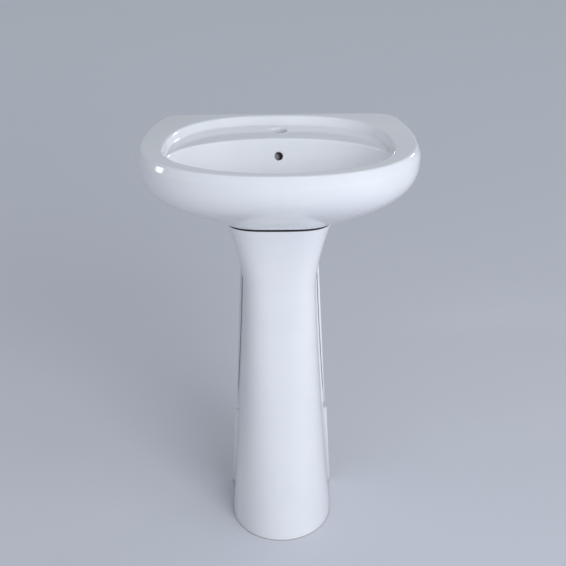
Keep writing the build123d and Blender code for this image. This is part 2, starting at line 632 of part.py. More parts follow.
DIP_END_Z = CUP_BASE_Z + CUP_WALL + DIP_CLEAR
with BuildPart(DRAIN_AXIS.offset(DIP_END_Z)) as trap_inlet_pipe:
    Cylinder(PIPE_RADIUS, COLLAR_TOP_Z - DIP_END_Z, align=LOW)
    with Locations((0, 0, COLLAR_BASE_Z - DIP_END_Z)):
        Cylinder(WASTE_RADIUS - FIT, COLLAR_THICK, align=LOW)
    Cylinder(PIPE_RADIUS - PIPE_WALL, COLLAR_TOP_Z - DIP_END_Z, align=LOW, mode=Mode.SUBTRACT)
keep(trap_inlet_pipe, "trap_inlet_pipe")

with BuildPart() as trap_body:
    with Locations(DRAIN_AXIS.offset(TRAP_SHOULDER_Z)):
        Cylinder(TRAP_RADIUS, TRAP_HEIGHT, align=LOW)
    fillet(trap_body.edges().filter_by(GeomType.CIRCLE).sort_by(Axis.Z)[-1], TRAP_ROUND)
    with Locations(DRAIN_AXIS.offset(SPIGOT_END_Z)):
        Cylinder(SPIGOT_RADIUS, SPIGOT_LENGTH, align=LOW)
    with Locations(DRAIN_AXIS.offset(TRAP_TOP_Z)):
        Cylinder(NECK_RADIUS, NECK_LENGTH, align=LOW)
    with Locations(OUTLET_AXIS.offset(-DRAIN_OUT)):
        Cylinder(NECK_RADIUS, DRAIN_OUT - OUTLET_BOSS_OUT, align=LOW)
    with Locations(DRAIN_AXIS.offset(TRAP_SHOULDER_Z + SPIGOT_WEB)):
        chamber_height = TRAP_HEIGHT - TRAP_ROUND - SPIGOT_WEB
        Cylinder(TRAP_RADIUS - TRAP_WALL, chamber_height, align=LOW, mode=Mode.SUBTRACT)
    with Locations(DRAIN_AXIS.offset(SPIGOT_END_Z)):
        Cylinder(SPIGOT_RADIUS - SPIGOT_WALL, SPIGOT_LENGTH + SPIGOT_WEB, align=LOW, mode=Mode.SUBTRACT)
        Cylinder(PIPE_RADIUS + FIT, NECK_TOP_Z - SPIGOT_END_Z, align=LOW, mode=Mode.SUBTRACT)
    with Locations(OUTLET_AXIS.offset(-DRAIN_OUT)):
        Cylinder(PIPE_RADIUS + FIT, DRAIN_OUT - OUTLET_BOSS_OUT, align=LOW, mode=Mode.SUBTRACT)
keep(trap_body, "trap_body")


def slip_joint(axis, face):
    """The grip nut and washer that seal a pipe in a threaded neck ending at this face."""
    start = face - SLIP_NUT_GRIP
    lip = face + SLIP_WASHER_THICK
    end = lip + NUT_LIP
    washer = ring(axis, NECK_RADIUS, PIPE_RADIUS + FIT, face, lip)
    with BuildPart(axis.offset(start)) as blank:
        Cylinder(SLIP_NUT_RADIUS, end - start, align=LOW)
        chamfer(blank.edges().filter_by(GeomType.CIRCLE), GRIP_CHAMFER)
        Cylinder(PIPE_RADIUS + FIT, end - start, align=LOW, mode=Mode.SUBTRACT)
        with PolarLocations(SLIP_NUT_RADIUS + GRIP_FLUTE_RADIUS - GRIP_FLUTE_DEEP, GRIP_FLUTES):
            Cylinder(GRIP_FLUTE_RADIUS, end - start, align=LOW, mode=Mode.SUBTRACT)
    return cap_nut(blank, axis, start, end, NECK_RADIUS + FIT, lip, end), washer


trap_slip_nut, trap_slip_washer = slip_joint(DRAIN_AXIS, NECK_TOP_Z)
keep(trap_slip_nut, "trap_slip_nut")
keep(trap_slip_washer, "trap_slip_washer")
outlet_slip_nut, outlet_slip_washer = slip_joint(OUTLET_AXIS, -OUTLET_BOSS_OUT)
keep(outlet_slip_nut, "outlet_slip_nut")
keep(outlet_slip_washer, "outlet_slip_washer")

OUTLET_PIPE_INSIDE = OUTLET_BOSS_OUT + OUTLET_PIPE_INSERT
with BuildPart(OUTLET_AXIS.offset(-OUTLET_PIPE_INSIDE)) as outlet_pipe:
    Cylinder(PIPE_RADIUS, OUTLET_PIPE_INSIDE + OUTLET_END_START, align=LOW)
    Cylinder(OUTLET_END_RADIUS, OUTLET_PIPE_INSIDE + OUTLET_PIPE_REACH, align=LOW)
    Cylinder(PIPE_RADIUS - PIPE_WALL, OUTLET_PIPE_INSIDE + OUTLET_PIPE_REACH, align=LOW, mode=Mode.SUBTRACT)
keep(outlet_pipe, "outlet_pipe")

with BuildPart(OUTLET_AXIS.offset(-WALL_FLANGE_THICK)) as wall_flange:
    with Locations((0, 0, WALL_FLANGE_THICK / 2)):
        Cone(WALL_FLANGE_RADIUS - 8, WALL_FLANGE_RADIUS, WALL_FLANGE_THICK)
    fillet(wall_flange.edges().sort_by(Axis.Y)[0], 2)
    Cylinder(PIPE_RADIUS + FIT, WALL_FLANGE_THICK, align=LOW, mode=Mode.SUBTRACT)
keep(wall_flange, "wall_flange")

with BuildPart(DRAIN_AXIS.offset(CUP_BASE_Z + CUP_WALL)) as cup_hollow:
    Cylinder(TRAP_RADIUS - CUP_WALL, CUP_DEPTH - CUP_WALL - SPIGOT_WEB, align=LOW)
    fillet(cup_hollow.edges().filter_by(GeomType.CIRCLE).sort_by(Axis.Z)[0], CUP_ROUND - CUP_WALL)

with BuildPart() as trap_cup:
    cup_height = TRAP_SHOULDER_Z - FIT - CUP_BASE_Z
    with Locations(DRAIN_AXIS.offset(CUP_BASE_Z)):
        Cylinder(TRAP_RADIUS, cup_height, align=LOW)
    fillet(trap_cup.edges().filter_by(GeomType.CIRCLE).sort_by(Axis.Z)[0], CUP_ROUND)
    add(cup_hollow.part, mode=Mode.SUBTRACT)
    with Locations(DRAIN_AXIS.offset(CUP_SEAT_Z - SPIGOT_WEB)):
        Cylinder(SPIGOT_RADIUS - SPIGOT_WALL, cup_height, align=LOW, mode=Mode.SUBTRACT)
    with Locations(DRAIN_AXIS.offset(CUP_SEAT_Z)):
        Cylinder(SPIGOT_RADIUS + FIT, cup_height, align=LOW, mode=Mode.SUBTRACT)
    with Locations(DRAIN_AXIS.offset(CUP_BASE_Z + CUP_FLUTE_RISE)):
        with PolarLocations(TRAP_RADIUS + CUP_FLUTE_RADIUS - CUP_FLUTE_DEEP, CUP_FLUTES):
            Cylinder(CUP_FLUTE_RADIUS, CUP_FLUTE_TALL, align=LOW, mode=Mode.SUBTRACT)
keep(trap_cup, "trap_cup")

trap_cup_seal = ring(
    DRAIN_AXIS, SPIGOT_RADIUS, SPIGOT_RADIUS - SPIGOT_WALL + FIT, CUP_SEAT_Z + FIT / 2, SPIGOT_END_Z - FIT / 2
)
keep(trap_cup_seal, "trap_cup_seal")

# Wall fixing: two studs, each with a sleeve, a washer and a nut inside the basin's back
SLEEVE_FACE = SKIN + SLEEVE_FLANGE_THICK
WASHER_FACE = SLEEVE_FACE + STUD_WASHER_THICK
with BuildPart(STUD_AXIS.offset(-STUD_INSIDE)) as wall_studs:
    with Locations(*STUD_PLACES):
        Cylinder(STUD_RADIUS, STUD_INSIDE, align=LOW)
        Cylinder(STUD_PLUG_RADIUS, STUD_INSIDE + STUD_REACH, align=LOW)
    stud_rings = wall_studs.edges().filter_by(GeomType.CIRCLE).group_by(Axis.Y)
    chamfer(stud_rings[0] + stud_rings[-1], 1)
keep(wall_studs, "wall_studs")

with BuildPart(STUD_AXIS.offset(-SLEEVE_FACE)) as stud_sleeves:
    with Locations(*STUD_PLACES):
        Cylinder(SLEEVE_FLANGE_RADIUS, SLEEVE_FLANGE_THICK, align=LOW)
        Cylinder(STUD_HOLE_RADIUS - FIT, SLEEVE_FACE - 1, align=LOW)
        Cylinder(STUD_RADIUS + FIT, SLEEVE_FACE, align=LOW, mode=Mode.SUBTRACT)
keep(stud_sleeves, "stud_sleeves")

with BuildPart(STUD_AXIS.offset(-WASHER_FACE)) as stud_washers:
    with Locations(*STUD_PLACES):
        Cylinder(STUD_WASHER_RADIUS, STUD_WASHER_THICK, align=LOW)
        Cylinder(STUD_RADIUS + FIT, STUD_WASHER_THICK, align=LOW, mode=Mode.SUBTRACT)
keep(stud_washers, "stud_washers")

NUT_FACE = WASHER_FACE + STUD_NUT_THICK
stud_nut = hex_nut(STUD_AXIS, STUD_NUT_FLATS, -NUT_FACE, -WASHER_FACE, STUD_RADIUS + FIT)
with BuildPart() as stud_nuts:
    for place_x, place_y in STUD_PLACES:
        add(stud_nut.part.moved(Location((place_x, place_y, 0))))
keep(stud_nuts, "stud_nuts")
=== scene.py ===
import json
import math

import bmesh
import bpy
from mathutils import Euler, Matrix, Vector


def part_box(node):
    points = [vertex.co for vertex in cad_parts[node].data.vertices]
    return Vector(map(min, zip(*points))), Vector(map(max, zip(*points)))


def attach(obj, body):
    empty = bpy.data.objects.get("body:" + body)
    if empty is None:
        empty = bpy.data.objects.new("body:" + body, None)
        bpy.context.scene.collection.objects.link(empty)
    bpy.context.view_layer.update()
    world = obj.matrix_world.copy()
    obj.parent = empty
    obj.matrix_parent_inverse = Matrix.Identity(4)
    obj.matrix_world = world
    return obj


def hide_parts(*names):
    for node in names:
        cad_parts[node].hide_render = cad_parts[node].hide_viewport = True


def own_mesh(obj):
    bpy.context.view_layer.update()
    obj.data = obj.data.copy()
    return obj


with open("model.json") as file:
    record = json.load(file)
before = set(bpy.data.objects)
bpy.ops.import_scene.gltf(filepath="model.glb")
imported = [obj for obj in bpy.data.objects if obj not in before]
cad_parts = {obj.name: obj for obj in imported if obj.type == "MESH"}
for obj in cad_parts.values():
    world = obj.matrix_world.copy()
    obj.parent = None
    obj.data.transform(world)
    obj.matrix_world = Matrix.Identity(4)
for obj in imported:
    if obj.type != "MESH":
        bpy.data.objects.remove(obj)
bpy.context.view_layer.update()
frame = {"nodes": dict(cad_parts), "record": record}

# Pedestal sink in metres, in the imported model's frame: +Z up, the front faces -Y, the wall is on the +Y side.
# A distance called "out" is measured from the wall plane towards the front.

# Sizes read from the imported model
basin_low, basin_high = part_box("basin")
pedestal_low, pedestal_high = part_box("pedestal")
waste_low, waste_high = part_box("waste_body")
spring_low, spring_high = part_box("stopper_spring")
RIM_Z = basin_high.z
FOOT_Z = basin_low.z
PEDESTAL_HEIGHT = pedestal_high.z
DRAIN_Y = (waste_low.y + waste_high.y) / 2

# Basin body
WALL_Y = 0.175
BASIN_WIDTH = 0.560
BASIN_REACH = 0.405
BULGE_DROP = 0.017
HULL_SIDE_CURVE = 3.0
HULL_SIDE_TUCK = 1.2
HULL_FRONT_CURVE = 2.75
HULL_FRONT_TUCK = 1.6
RIM_INSET = 0.007
BACK_WIDTH = 0.476
BACK_CORNER_RUN = 0.024
BACK_CORNER_FULLNESS = 0.8
BASIN_WIDEST_OUT = 0.192
BASIN_FULLNESS = 0.735
SKIN = 0.010
FOOT_LIP = 0.004
EDGE_SOFTNESS = 5
BACK_BAND = 0.108
SERVICE_WIDTH = 0.250
SERVICE_REACH = 0.100

# Bowl, tap ledge, overflow and drain
BOWL_WIDTH = 0.444
BOWL_FRONT_OUT = 0.376
BOWL_BACK_OUT = 0.113
BOWL_DEPTH = 0.132
BOWL_SIDE_CURVE = 2.0
BOWL_FRONT_CURVE = 1.25
BOWL_BACK_CURVE = 1.5
BOWL_SEAT_RADIUS = 0.034
SEAT_SINK = 0.004
SEAT_RADIUS = 0.033
SEAT_EDGE = 0.001
DRAIN_RADIUS = 0.0225
LEDGE_DROP = 0.018
LEDGE_THICK = 0.012
LEDGE_SLOPE = 0.009
RECESS_WIDTH = 0.452
RECESS_BACK_OUT = 0.016
RECESS_FULLNESS = 0.766
TAP_OUT = 0.058
TAP_RADIUS = 0.0175
TAP_LIP = 0.003
OVERFLOW_DROP = 0.054
OVERFLOW_RADIUS = 0.0085
OVERFLOW_LIP = 0.0025
OVERFLOW_TILT = 14.0
# Spot inside the overflow that the painted shade leaves out, where light falls in
OVERFLOW_LIT_ASIDE = 0.006
OVERFLOW_LIT_BELOW = 0.011
OVERFLOW_LIT_RADIUS = 0.0085
RIB_HALF_WIDTH = 0.020
RIB_BACK_OUT = 0.086
RIB_TOP_RISE = 0.0175
RIB_SLOPE_RISE = 0.032
RIB_SLOPE_FACING = (0, 0.6, -0.8)
DUCT_HALF_WIDTH = 0.012
DUCT_BACK_OUT = 0.094
DUCT_TOP_RISE = 0.0095
DUCT_FLOOR_RISE = 0.040
STUD_SPACING = 0.280
STUD_DROP = 0.062
STUD_HOLE_RADIUS = 0.0085

# Pedestal
PEDESTAL_WALL = 0.011
PEDESTAL_BACK_OUT = 0.050
PEDESTAL_WIDEST_OUT = 0.173
BASE_WIDTH = 0.212
BASE_FRONT_OUT = 0.312
BASE_FULLNESS = 0.709
WAIST_DROP = 0.150
WAIST_WIDTH = 0.150
WAIST_FRONT_OUT = 0.247
TOP_WIDTH = 0.216
TOP_FRONT_OUT = 0.278
TOP_FULLNESS = 0.82
BELLY_CURVE = 1.35
FLARE_CURVE = 1.55
FLANGE_BASE_WIDTH = 0.213
FLANGE_TOP_WIDTH = 0.162
FLANGE_DROP = 0.095
FLANGE_THICK = 0.012
FLANGE_LEAST = 0.0015
FLANGE_STEP = 0.004
NOTCH_HEIGHT = 0.186
NOTCH_TALL = 0.014
NOTCH_DEEP = 0.004
NOTCH_EDGE = 0.001
FLANGE_BLEND = 0.003
LOW_FLANGE_BLEND = 0.030
GROOVE_START = 0.0034
GROOVE_WIDTH = 0.0018
GROOVE_DEPTH = 0.005
PEDESTAL_EDGE = 0.0025
LUG_OUT = 0.096
LUG_LENGTH = 0.044
LUG_WIDTH = 0.034
LUG_THICK = 0.016
LUG_HOLE_RADIUS = 0.007
LUG_LIFT = 0.0003

# Stopper spring and threads
SPRING_WIRE_RADIUS = 0.00045
SPRING_TURNS = 5
STUD_PITCH = 0.0015
WASTE_PITCH = 0.0018

# Studio: floor, light and the photograph's camera
FLOOR_SIZE = 40
FLOOR_MIDDLE = 8.0
# Where the floor's painted light begins and where it is full, along Y
PALER_FROM = -1.0
PALEST_FROM = 5.0
COOL_WHITE = (0.89, 0.945, 1.0)
SKY_BLUE = (0.85, 0.92, 1.0)
SKY_STRENGTH = 0.42
CAMERA_PLACE = (0.007, -2.738, 1.7345)
CAMERA_LENS = 91.85
CAMERA_SENSOR = 36
CAMERA_PITCH = 23.584
CAMERA_ROLL = 0.42

# Levels and places worked out from the sizes above
BULGE_Z = RIM_Z - BULGE_DROP
LEDGE_Z = RIM_Z - LEDGE_DROP
CAVITY_Z = LEDGE_Z - LEDGE_THICK
BOWL_FLOOR_Z = RIM_Z - BOWL_DEPTH
SEAT_Z = BOWL_FLOOR_Z - SEAT_SINK
OVERFLOW_Z = RIM_Z - OVERFLOW_DROP
DUCT_FLOOR_Z = FOOT_Z + DUCT_FLOOR_RISE
DUCT_TOP_Z = OVERFLOW_Z + DUCT_TOP_RISE
DRAIN_OUT = WALL_Y - DRAIN_Y
FOOT_HALF = TOP_WIDTH / 2 + FOOT_LIP
FOOT_FRONT_OUT = TOP_FRONT_OUT + FOOT_LIP
WAIST_HEIGHT = PEDESTAL_HEIGHT - WAIST_DROP
FLANGE_HEIGHT = PEDESTAL_HEIGHT - FLANGE_DROP


def out(distance):
    """Y of a point this far out from the wall."""
    return WALL_Y - distance


# Fineness of the meshes: steps along an outline or profile, and lengths too short to matter
BACK_STEPS = 40
CORNER_STEPS = 16
SIDE_STEPS = 40
FRONT_STEPS = 120
BOWL_STEPS = 180
RECESS_FRONT_STEPS = 90
SPOKE_COUNT = 121
LEVEL_STEPS = 48
HOLLOW_STEPS = 20
LEDGE_CLEAR = 0.001
PROFILE_SPACING = 0.0015
SHORTEST_SECTION = 0.006
SECTION_CROWDING = 0.55
BLEND_PASSES = 10
LIP_STEPS = 6
COLUMN_STEPS = 46
COLUMN_FRONT_STEPS = 40
GROOVE_STEPS = 24
WIRE_SIDES = 10
COIL_STEPS = 32
WELD = 0.000001
SLIVER = 0.00001
CUT_PAST = 0.010
HOLE_FLARE = 0.002
SMOOTH_ANGLE = math.radians(38)
WIRE_SMOOTH_ANGLE = math.radians(60)
BEVEL_ANGLE = math.radians(50)


# Modelling tools


def clear_selection():
    if bpy.context.object and bpy.context.object.mode != "OBJECT":
        bpy.ops.object.mode_set(mode="OBJECT")
    bpy.ops.object.select_all(action="DESELECT")


def pick(piece):
    clear_selection()
    piece.select_set(True)
    bpy.context.view_layer.objects.active = piece


def loft(name, rings, closed=True):
    """A skin grown from a circle: its edge is extruded for each further ring and set on the ring's points."""
    clear_selection()
    bpy.ops.mesh.primitive_circle_add(vertices=len(rings[0]))
    piece = bpy.context.object
    piece.name = name
    piece.data.name = name
    bpy.ops.object.mode_set(mode="EDIT")
    bpy.ops.mesh.select_all(action="SELECT")
    mesh = bmesh.from_edit_mesh(piece.data)
    if not closed:
        mesh.verts.ensure_lookup_table()
        seam = mesh.edges.get((mesh.verts[0], mesh.verts[-1]))
        mesh.edges.remove(seam)
    for number, ring in enumerate(rings):
        if number:
            bpy.ops.mesh.extrude_edges_indiv()
            mesh = bmesh.from_edit_mesh(piece.data)
        mesh.verts.ensure_lookup_table()
        for vertex, point in zip(mesh.verts[-len(ring):], ring):
            vertex.co = point
    bmesh.update_edit_mesh(piece.data)
    return piece


def welded(name, rings):
    """A closed skin whose last ring lies on its first."""
    piece = loft(name, rings)
    bpy.ops.mesh.select_all(action="SELECT")
    bpy.ops.mesh.remove_doubles(threshold=WELD)
    bpy.ops.mesh.normals_make_consistent(inside=False)
    bpy.ops.object.mode_set(mode="OBJECT")
    return piece


def capped(name, rings):
    """A skin with a flat cap on its last ring and on its first."""
    piece = loft(name, rings)
    bpy.ops.mesh.edge_face_add()
    bpy.ops.mesh.select_all(action="DESELECT")
    mesh = bmesh.from_edit_mesh(piece.data)
    mesh.verts.ensure_lookup_table()
    for vertex in mesh.verts[: len(rings[0])]:
        vertex.select = True
    mesh.select_flush(True)
    bpy.ops.mesh.edge_face_add()
    bpy.ops.mesh.select_all(action="SELECT")
    bpy.ops.mesh.normals_make_consistent(inside=False)
    bpy.ops.object.mode_set(mode="OBJECT")
    return piece


def turned(name, profile, place, segments=64):
    """A turned plug: circles of the profile's (radius, along) pairs, set on the axis of a placing matrix."""
    rings = []
    for radius, along in profile:
        ring = []
        for step in range(segments):
            angle = 2 * math.pi * step / segments
            ring.append(place @ Vector((radius * math.cos(angle), radius * math.sin(angle), along)))
        rings.append(ring)
    return capped(name, rings)


def block(name, low, high):
    """A box between two corners, with its place in its mesh."""
    clear_selection()
    centre = (Vector(low) + Vector(high)) / 2
    bpy.ops.mesh.primitive_cube_add(size=1, location=centre, scale=Vector(high) - Vector(low))
    piece = bpy.context.object
    piece.name = name
    bpy.ops.object.transform_apply(location=True, rotation=True, scale=True)
    return piece


def combine(piece, other, operation):
    """Cuts another solid out of a piece, or welds it on, and removes the other solid."""
    pick(piece)
    step = piece.modifiers.new(operation.lower(), "BOOLEAN")
    step.operation = operation
    step.solver = "EXACT"
    step.object = other
    bpy.ops.object.modifier_apply(modifier=step.name)
    bpy.data.objects.remove(other)


def cut_away(piece, place, facing):
    """Removes what lies on the facing side of a plane through this place, and closes the cut."""
    pick(piece)
    bpy.ops.object.mode_set(mode="EDIT")
    bpy.ops.mesh.select_all(action="SELECT")
    bpy.ops.mesh.bisect(plane_co=place, plane_no=facing, use_fill=True, clear_outer=True)
    bpy.ops.object.mode_set(mode="OBJECT")


def clean(piece):
    """Closes the slivers that the cuts leave, splits many-sided faces and smooths all but the sharp edges."""
    pick(piece)
    bpy.ops.object.mode_set(mode="EDIT")
    bpy.ops.mesh.select_all(action="SELECT")
    bpy.ops.mesh.remove_doubles(threshold=SLIVER)
    bpy.ops.mesh.dissolve_degenerate(threshold=SLIVER)
    bpy.ops.mesh.select_all(action="DESELECT")
    bpy.ops.mesh.select_face_by_sides(number=4, type="GREATER")
    bpy.ops.mesh.quads_convert_to_tris(quad_method="BEAUTY", ngon_method="BEAUTY")
    bpy.ops.mesh.select_all(action="SELECT")
    bpy.ops.mesh.dissolve_degenerate(threshold=SLIVER)
    mesh = bmesh.from_edit_mesh(piece.data)
    fins = [face for face in mesh.faces if {1, 3} <= {len(edge.link_faces) for edge in face.edges}]
    bmesh.ops.delete(mesh, geom=fins, context="FACES")
    bmesh.update_edit_mesh(piece.data)
    bpy.ops.object.mode_set(mode="OBJECT")
    bpy.ops.object.shade_smooth_by_angle(angle=SMOOTH_ANGLE)


def reach(share, curve):
    """How far out a rounded wall still stands, from 1 at its top to 0 where it is all turned in."""
    return max(0.0, 1 - share**curve) ** (1 / curve)


def slope(share, curve, tuck):
    """How far out the hull still stands: upright at its top, then in along a straight slope to its foot."""
    return max(0.0, 1 - share**curve) ** tuck


def part_way(start, end, share):
    """The point this share of the way from one plane point to another."""
    return (start[0] + (end[0] - start[0]) * share, start[1] + (end[1] - start[1]) * share)


def distances_along(points):
    """How far along a line each of its points lies."""
    distances = [0.0]
    for start, end in zip(points, points[1:]):
        distances.append(distances[-1] + math.dist(start, end))
    return distances


def points_along(points, count):
    """Points that divide a line into this many equal lengths."""
    distances = distances_along(points)
    even = []
    index = 0
    for number in range(count + 1):
        wanted = distances[-1] * number / count
        while index < len(points) - 2 and distances[index + 1] < wanted:
            index += 1
        gap = distances[index + 1] - distances[index]
        share = (wanted - distances[index]) / gap if gap else 0.0
        even.append(part_way(points[index], points[index + 1], share))
    return even


def superellipse(half_width, depth, fullness, steps):
    """Quarter of a full oval, from its end on the X axis to its end straight ahead."""
    power = 2 * math.log(fullness) / math.log(0.5)
    quarter = []
    for step in range(steps + 1):
        angle = math.pi / 2 * step / steps
        quarter.append((half_width * math.cos(angle) ** power, depth * math.sin(angle) ** power))
    return quarter


# Basin outlines: right-hand halves in plan as (x, out), from the middle of the back to that of the front

def body_outline(half_width, front, widest, fullness, back):
    """Straight back, round back corners, bowed sides and a full rounded front."""
    back_half = half_width * BACK_WIDTH / BASIN_WIDTH
    bow = half_width - back_half
    bow_radius = (bow**2 + (widest - back) ** 2) / (2 * bow)

    def side(distance):
        return half_width - bow_radius + math.sqrt(bow_radius**2 - (widest - distance) ** 2)

    points = [((back_half - BACK_CORNER_RUN) * step / BACK_STEPS, back) for step in range(BACK_STEPS)]
    for step in range(CORNER_STEPS + 1):
        share = step / CORNER_STEPS
        start_part = (1 - share) ** 2
        corner_part = 2 * share * (1 - share) * BACK_CORNER_FULLNESS
        end_part = share**2
        whole = start_part + corner_part + end_part
        x = start_part * (back_half - BACK_CORNER_RUN)
        x += corner_part * back_half
        x += end_part * side(back + BACK_CORNER_RUN)
        distance = back + end_part * BACK_CORNER_RUN / whole
        points.append((x / whole, distance))
    for step in range(1, SIDE_STEPS):
        distance = back + BACK_CORNER_RUN + (widest - back - BACK_CORNER_RUN) * step / SIDE_STEPS
        points.append((side(distance), distance))
    front_quarter = superellipse(half_width, front - widest, fullness, FRONT_STEPS)
    return points + [(x, widest + ahead) for x, ahead in front_quarter]


def hull_outline(share, inset):
    """Plan of the body at this share of the way down from its widest level to its foot, and that level."""
    across = slope(share, HULL_SIDE_CURVE, HULL_SIDE_TUCK)
    ahead = slope(share, HULL_FRONT_CURVE, HULL_FRONT_TUCK)
    half_width = FOOT_HALF + (BASIN_WIDTH / 2 - FOOT_HALF) * across - inset
    front = FOOT_FRONT_OUT + (BASIN_REACH - FOOT_FRONT_OUT) * ahead - inset
    widest = PEDESTAL_WIDEST_OUT + (BASIN_WIDEST_OUT - PEDESTAL_WIDEST_OUT) * across
    fullness = TOP_FULLNESS + (BASIN_FULLNESS - TOP_FULLNESS) * across
    level = BULGE_Z - (BULGE_Z - FOOT_Z - inset) * share
    return body_outline(half_width, front, widest, fullness, inset), level


def rim_outline():
    half_width = BASIN_WIDTH / 2 - RIM_INSET
    return body_outline(half_width, BASIN_REACH - RIM_INSET, BASIN_WIDEST_OUT, BASIN_FULLNESS, 0)


def bowl_outline(share, grow):
    """Ellipse of the bowl at this share of its depth, and that level; grow gives the outside of its skin."""
    seat_front = DRAIN_OUT + BOWL_SEAT_RADIUS
    seat_back = DRAIN_OUT - BOWL_SEAT_RADIUS
    half_width = BOWL_SEAT_RADIUS + grow
    half_width += (BOWL_WIDTH / 2 - BOWL_SEAT_RADIUS) * reach(share, BOWL_SIDE_CURVE)
    front = seat_front + (BOWL_FRONT_OUT - seat_front) * reach(share, BOWL_FRONT_CURVE) + grow
    back = seat_back - (seat_back - BOWL_BACK_OUT) * reach(share, BOWL_BACK_CURVE) - grow
    points = []
    for step in range(BOWL_STEPS + 1):
        angle = math.pi * step / BOWL_STEPS
        distance = (front + back) / 2 - (front - back) / 2 * math.cos(angle)
        points.append((half_width * math.sin(angle), distance))
    return points, RIM_Z - share * (BOWL_DEPTH + grow)


def recess_outline(inset):
    """Plan of the sunk tap ledge: a full curve at the back, closed in front inside the bowl."""
    centre = (BOWL_FRONT_OUT + BOWL_BACK_OUT) / 2
    half_width = RECESS_WIDTH / 2 - inset / 2
    back_depth = centre - RECESS_BACK_OUT - inset
    front_depth = BOWL_FRONT_OUT - centre - 2 * SKIN
    rear = superellipse(half_width, back_depth, RECESS_FULLNESS, FRONT_STEPS)
    points = [(x, centre - behind) for x, behind in reversed(rear)]
    for step in range(1, RECESS_FRONT_STEPS + 1):
        angle = math.pi / 2 * step / RECESS_FRONT_STEPS
        points.append((half_width * math.cos(angle), centre + front_depth * math.sin(angle)))
    return points


# Basin spokes: the body is drawn along upright planes that fan out from the drain's axis

def equal_spokes(outline):
    """Directions, from straight back to straight ahead, that divide an outline into equal lengths."""
    points = points_along(outline, SPOKE_COUNT - 1)
    return [math.atan2(max(x, 0), DRAIN_OUT - distance) for x, distance in points]


SPOKES = equal_spokes(rim_outline())


def along_spokes(outline):
    """How far each spoke runs from the drain's axis before it meets this outline."""
    polar = [(math.atan2(max(x, 0), DRAIN_OUT - y), math.hypot(x, DRAIN_OUT - y)) for x, y in outline]
    lengths = []
    index = 0
    for angle in SPOKES:
        while index < len(polar) - 2 and polar[index + 1][0] < angle:
            index += 1
        near, far = polar[index], polar[index + 1]
        lengths.append(near[1] + (far[1] - near[1]) * (angle - near[0]) / (far[0] - near[0]))
    return lengths


def ease(lengths, passes):
    """Evens a row of spoke lengths from spoke to spoke, so that two outlines run into each other softly."""
    for _ in range(passes):
        padded = [lengths[1]] + lengths + [lengths[-2]]
        lengths = [(a + 2 * b + c) / 4 for a, b, c in zip(padded, padded[1:], padded[2:])]
    return lengths


def spoke_point(spoke, radius, level):
    return Vector((radius * math.sin(spoke), DRAIN_Y + radius * math.cos(spoke), level))


def whole_ring(points):
    """A closed ring from its right-hand half, whose two ends lie on the middle plane."""
    mirrored = [Vector((-point.x, point.y, point.z)) for point in reversed(points[1:-1])]
    return points + mirrored


def softened(points, passes):
    """A line with its corners rounded off, as glaze rounds them."""
    for _ in range(passes):
        middle = [
            ((a[0] + 2 * b[0] + c[0]) / 4, (a[1] + 2 * b[1] + c[1]) / 4)
            for a, b, c in zip(points, points[1:], points[2:])
        ]
        points = points[:1] + middle + points[-1:]
    return points


def crowd_ends(share):
    """Moves marks along a section towards its two ends, where the corners are."""
    return share - SECTION_CROWDING * math.sin(2 * math.pi * share) / (2 * math.pi)


def drawn_profile(sections, counts):
    """Marks along a profile of sections, each with its own number of marks, once its corners are softened."""
    line = [sections[0][0]]
    ends = [0]
    for section in sections:
        line += section[1:]
        ends.append(len(line) - 1)
    distances = distances_along(line)
    stops = [distances[end] for end in ends]
    for number in range(1, len(stops) - 1):
        stops[number] = max(stops[number], stops[number - 1] + SHORTEST_SECTION)
    even_count = max(2, round(distances[-1] / PROFILE_SPACING))
    soft = softened(points_along(line, even_count), EDGE_SOFTNESS)
    step = distances[-1] / even_count
    marks = []
    for start, end, count in zip(stops, stops[1:], counts):
        for mark in range(count):
            place = (start + (end - start) * crowd_ends(mark / count)) / step
            index = min(int(place), len(soft) - 2)
            marks.append(part_way(soft[index], soft[index + 1], place - index))
    marks.append(soft[-1])
    return marks


def rings_of(profiles):
    """Closed rings, one for each mark, through the profiles drawn on all the spokes."""
    rings = []
    for marks in zip(*profiles):
        half = [spoke_point(spoke, radius, level) for spoke, (radius, level) in zip(SPOKES, marks)]
        rings.append(whole_ring(half))
    return rings


# Marks along the foot, the hull, the rim, the ledge's wall, the ledge and the bowl
SECTION_MARKS = (6, 40, 12, 10, 14, 44)


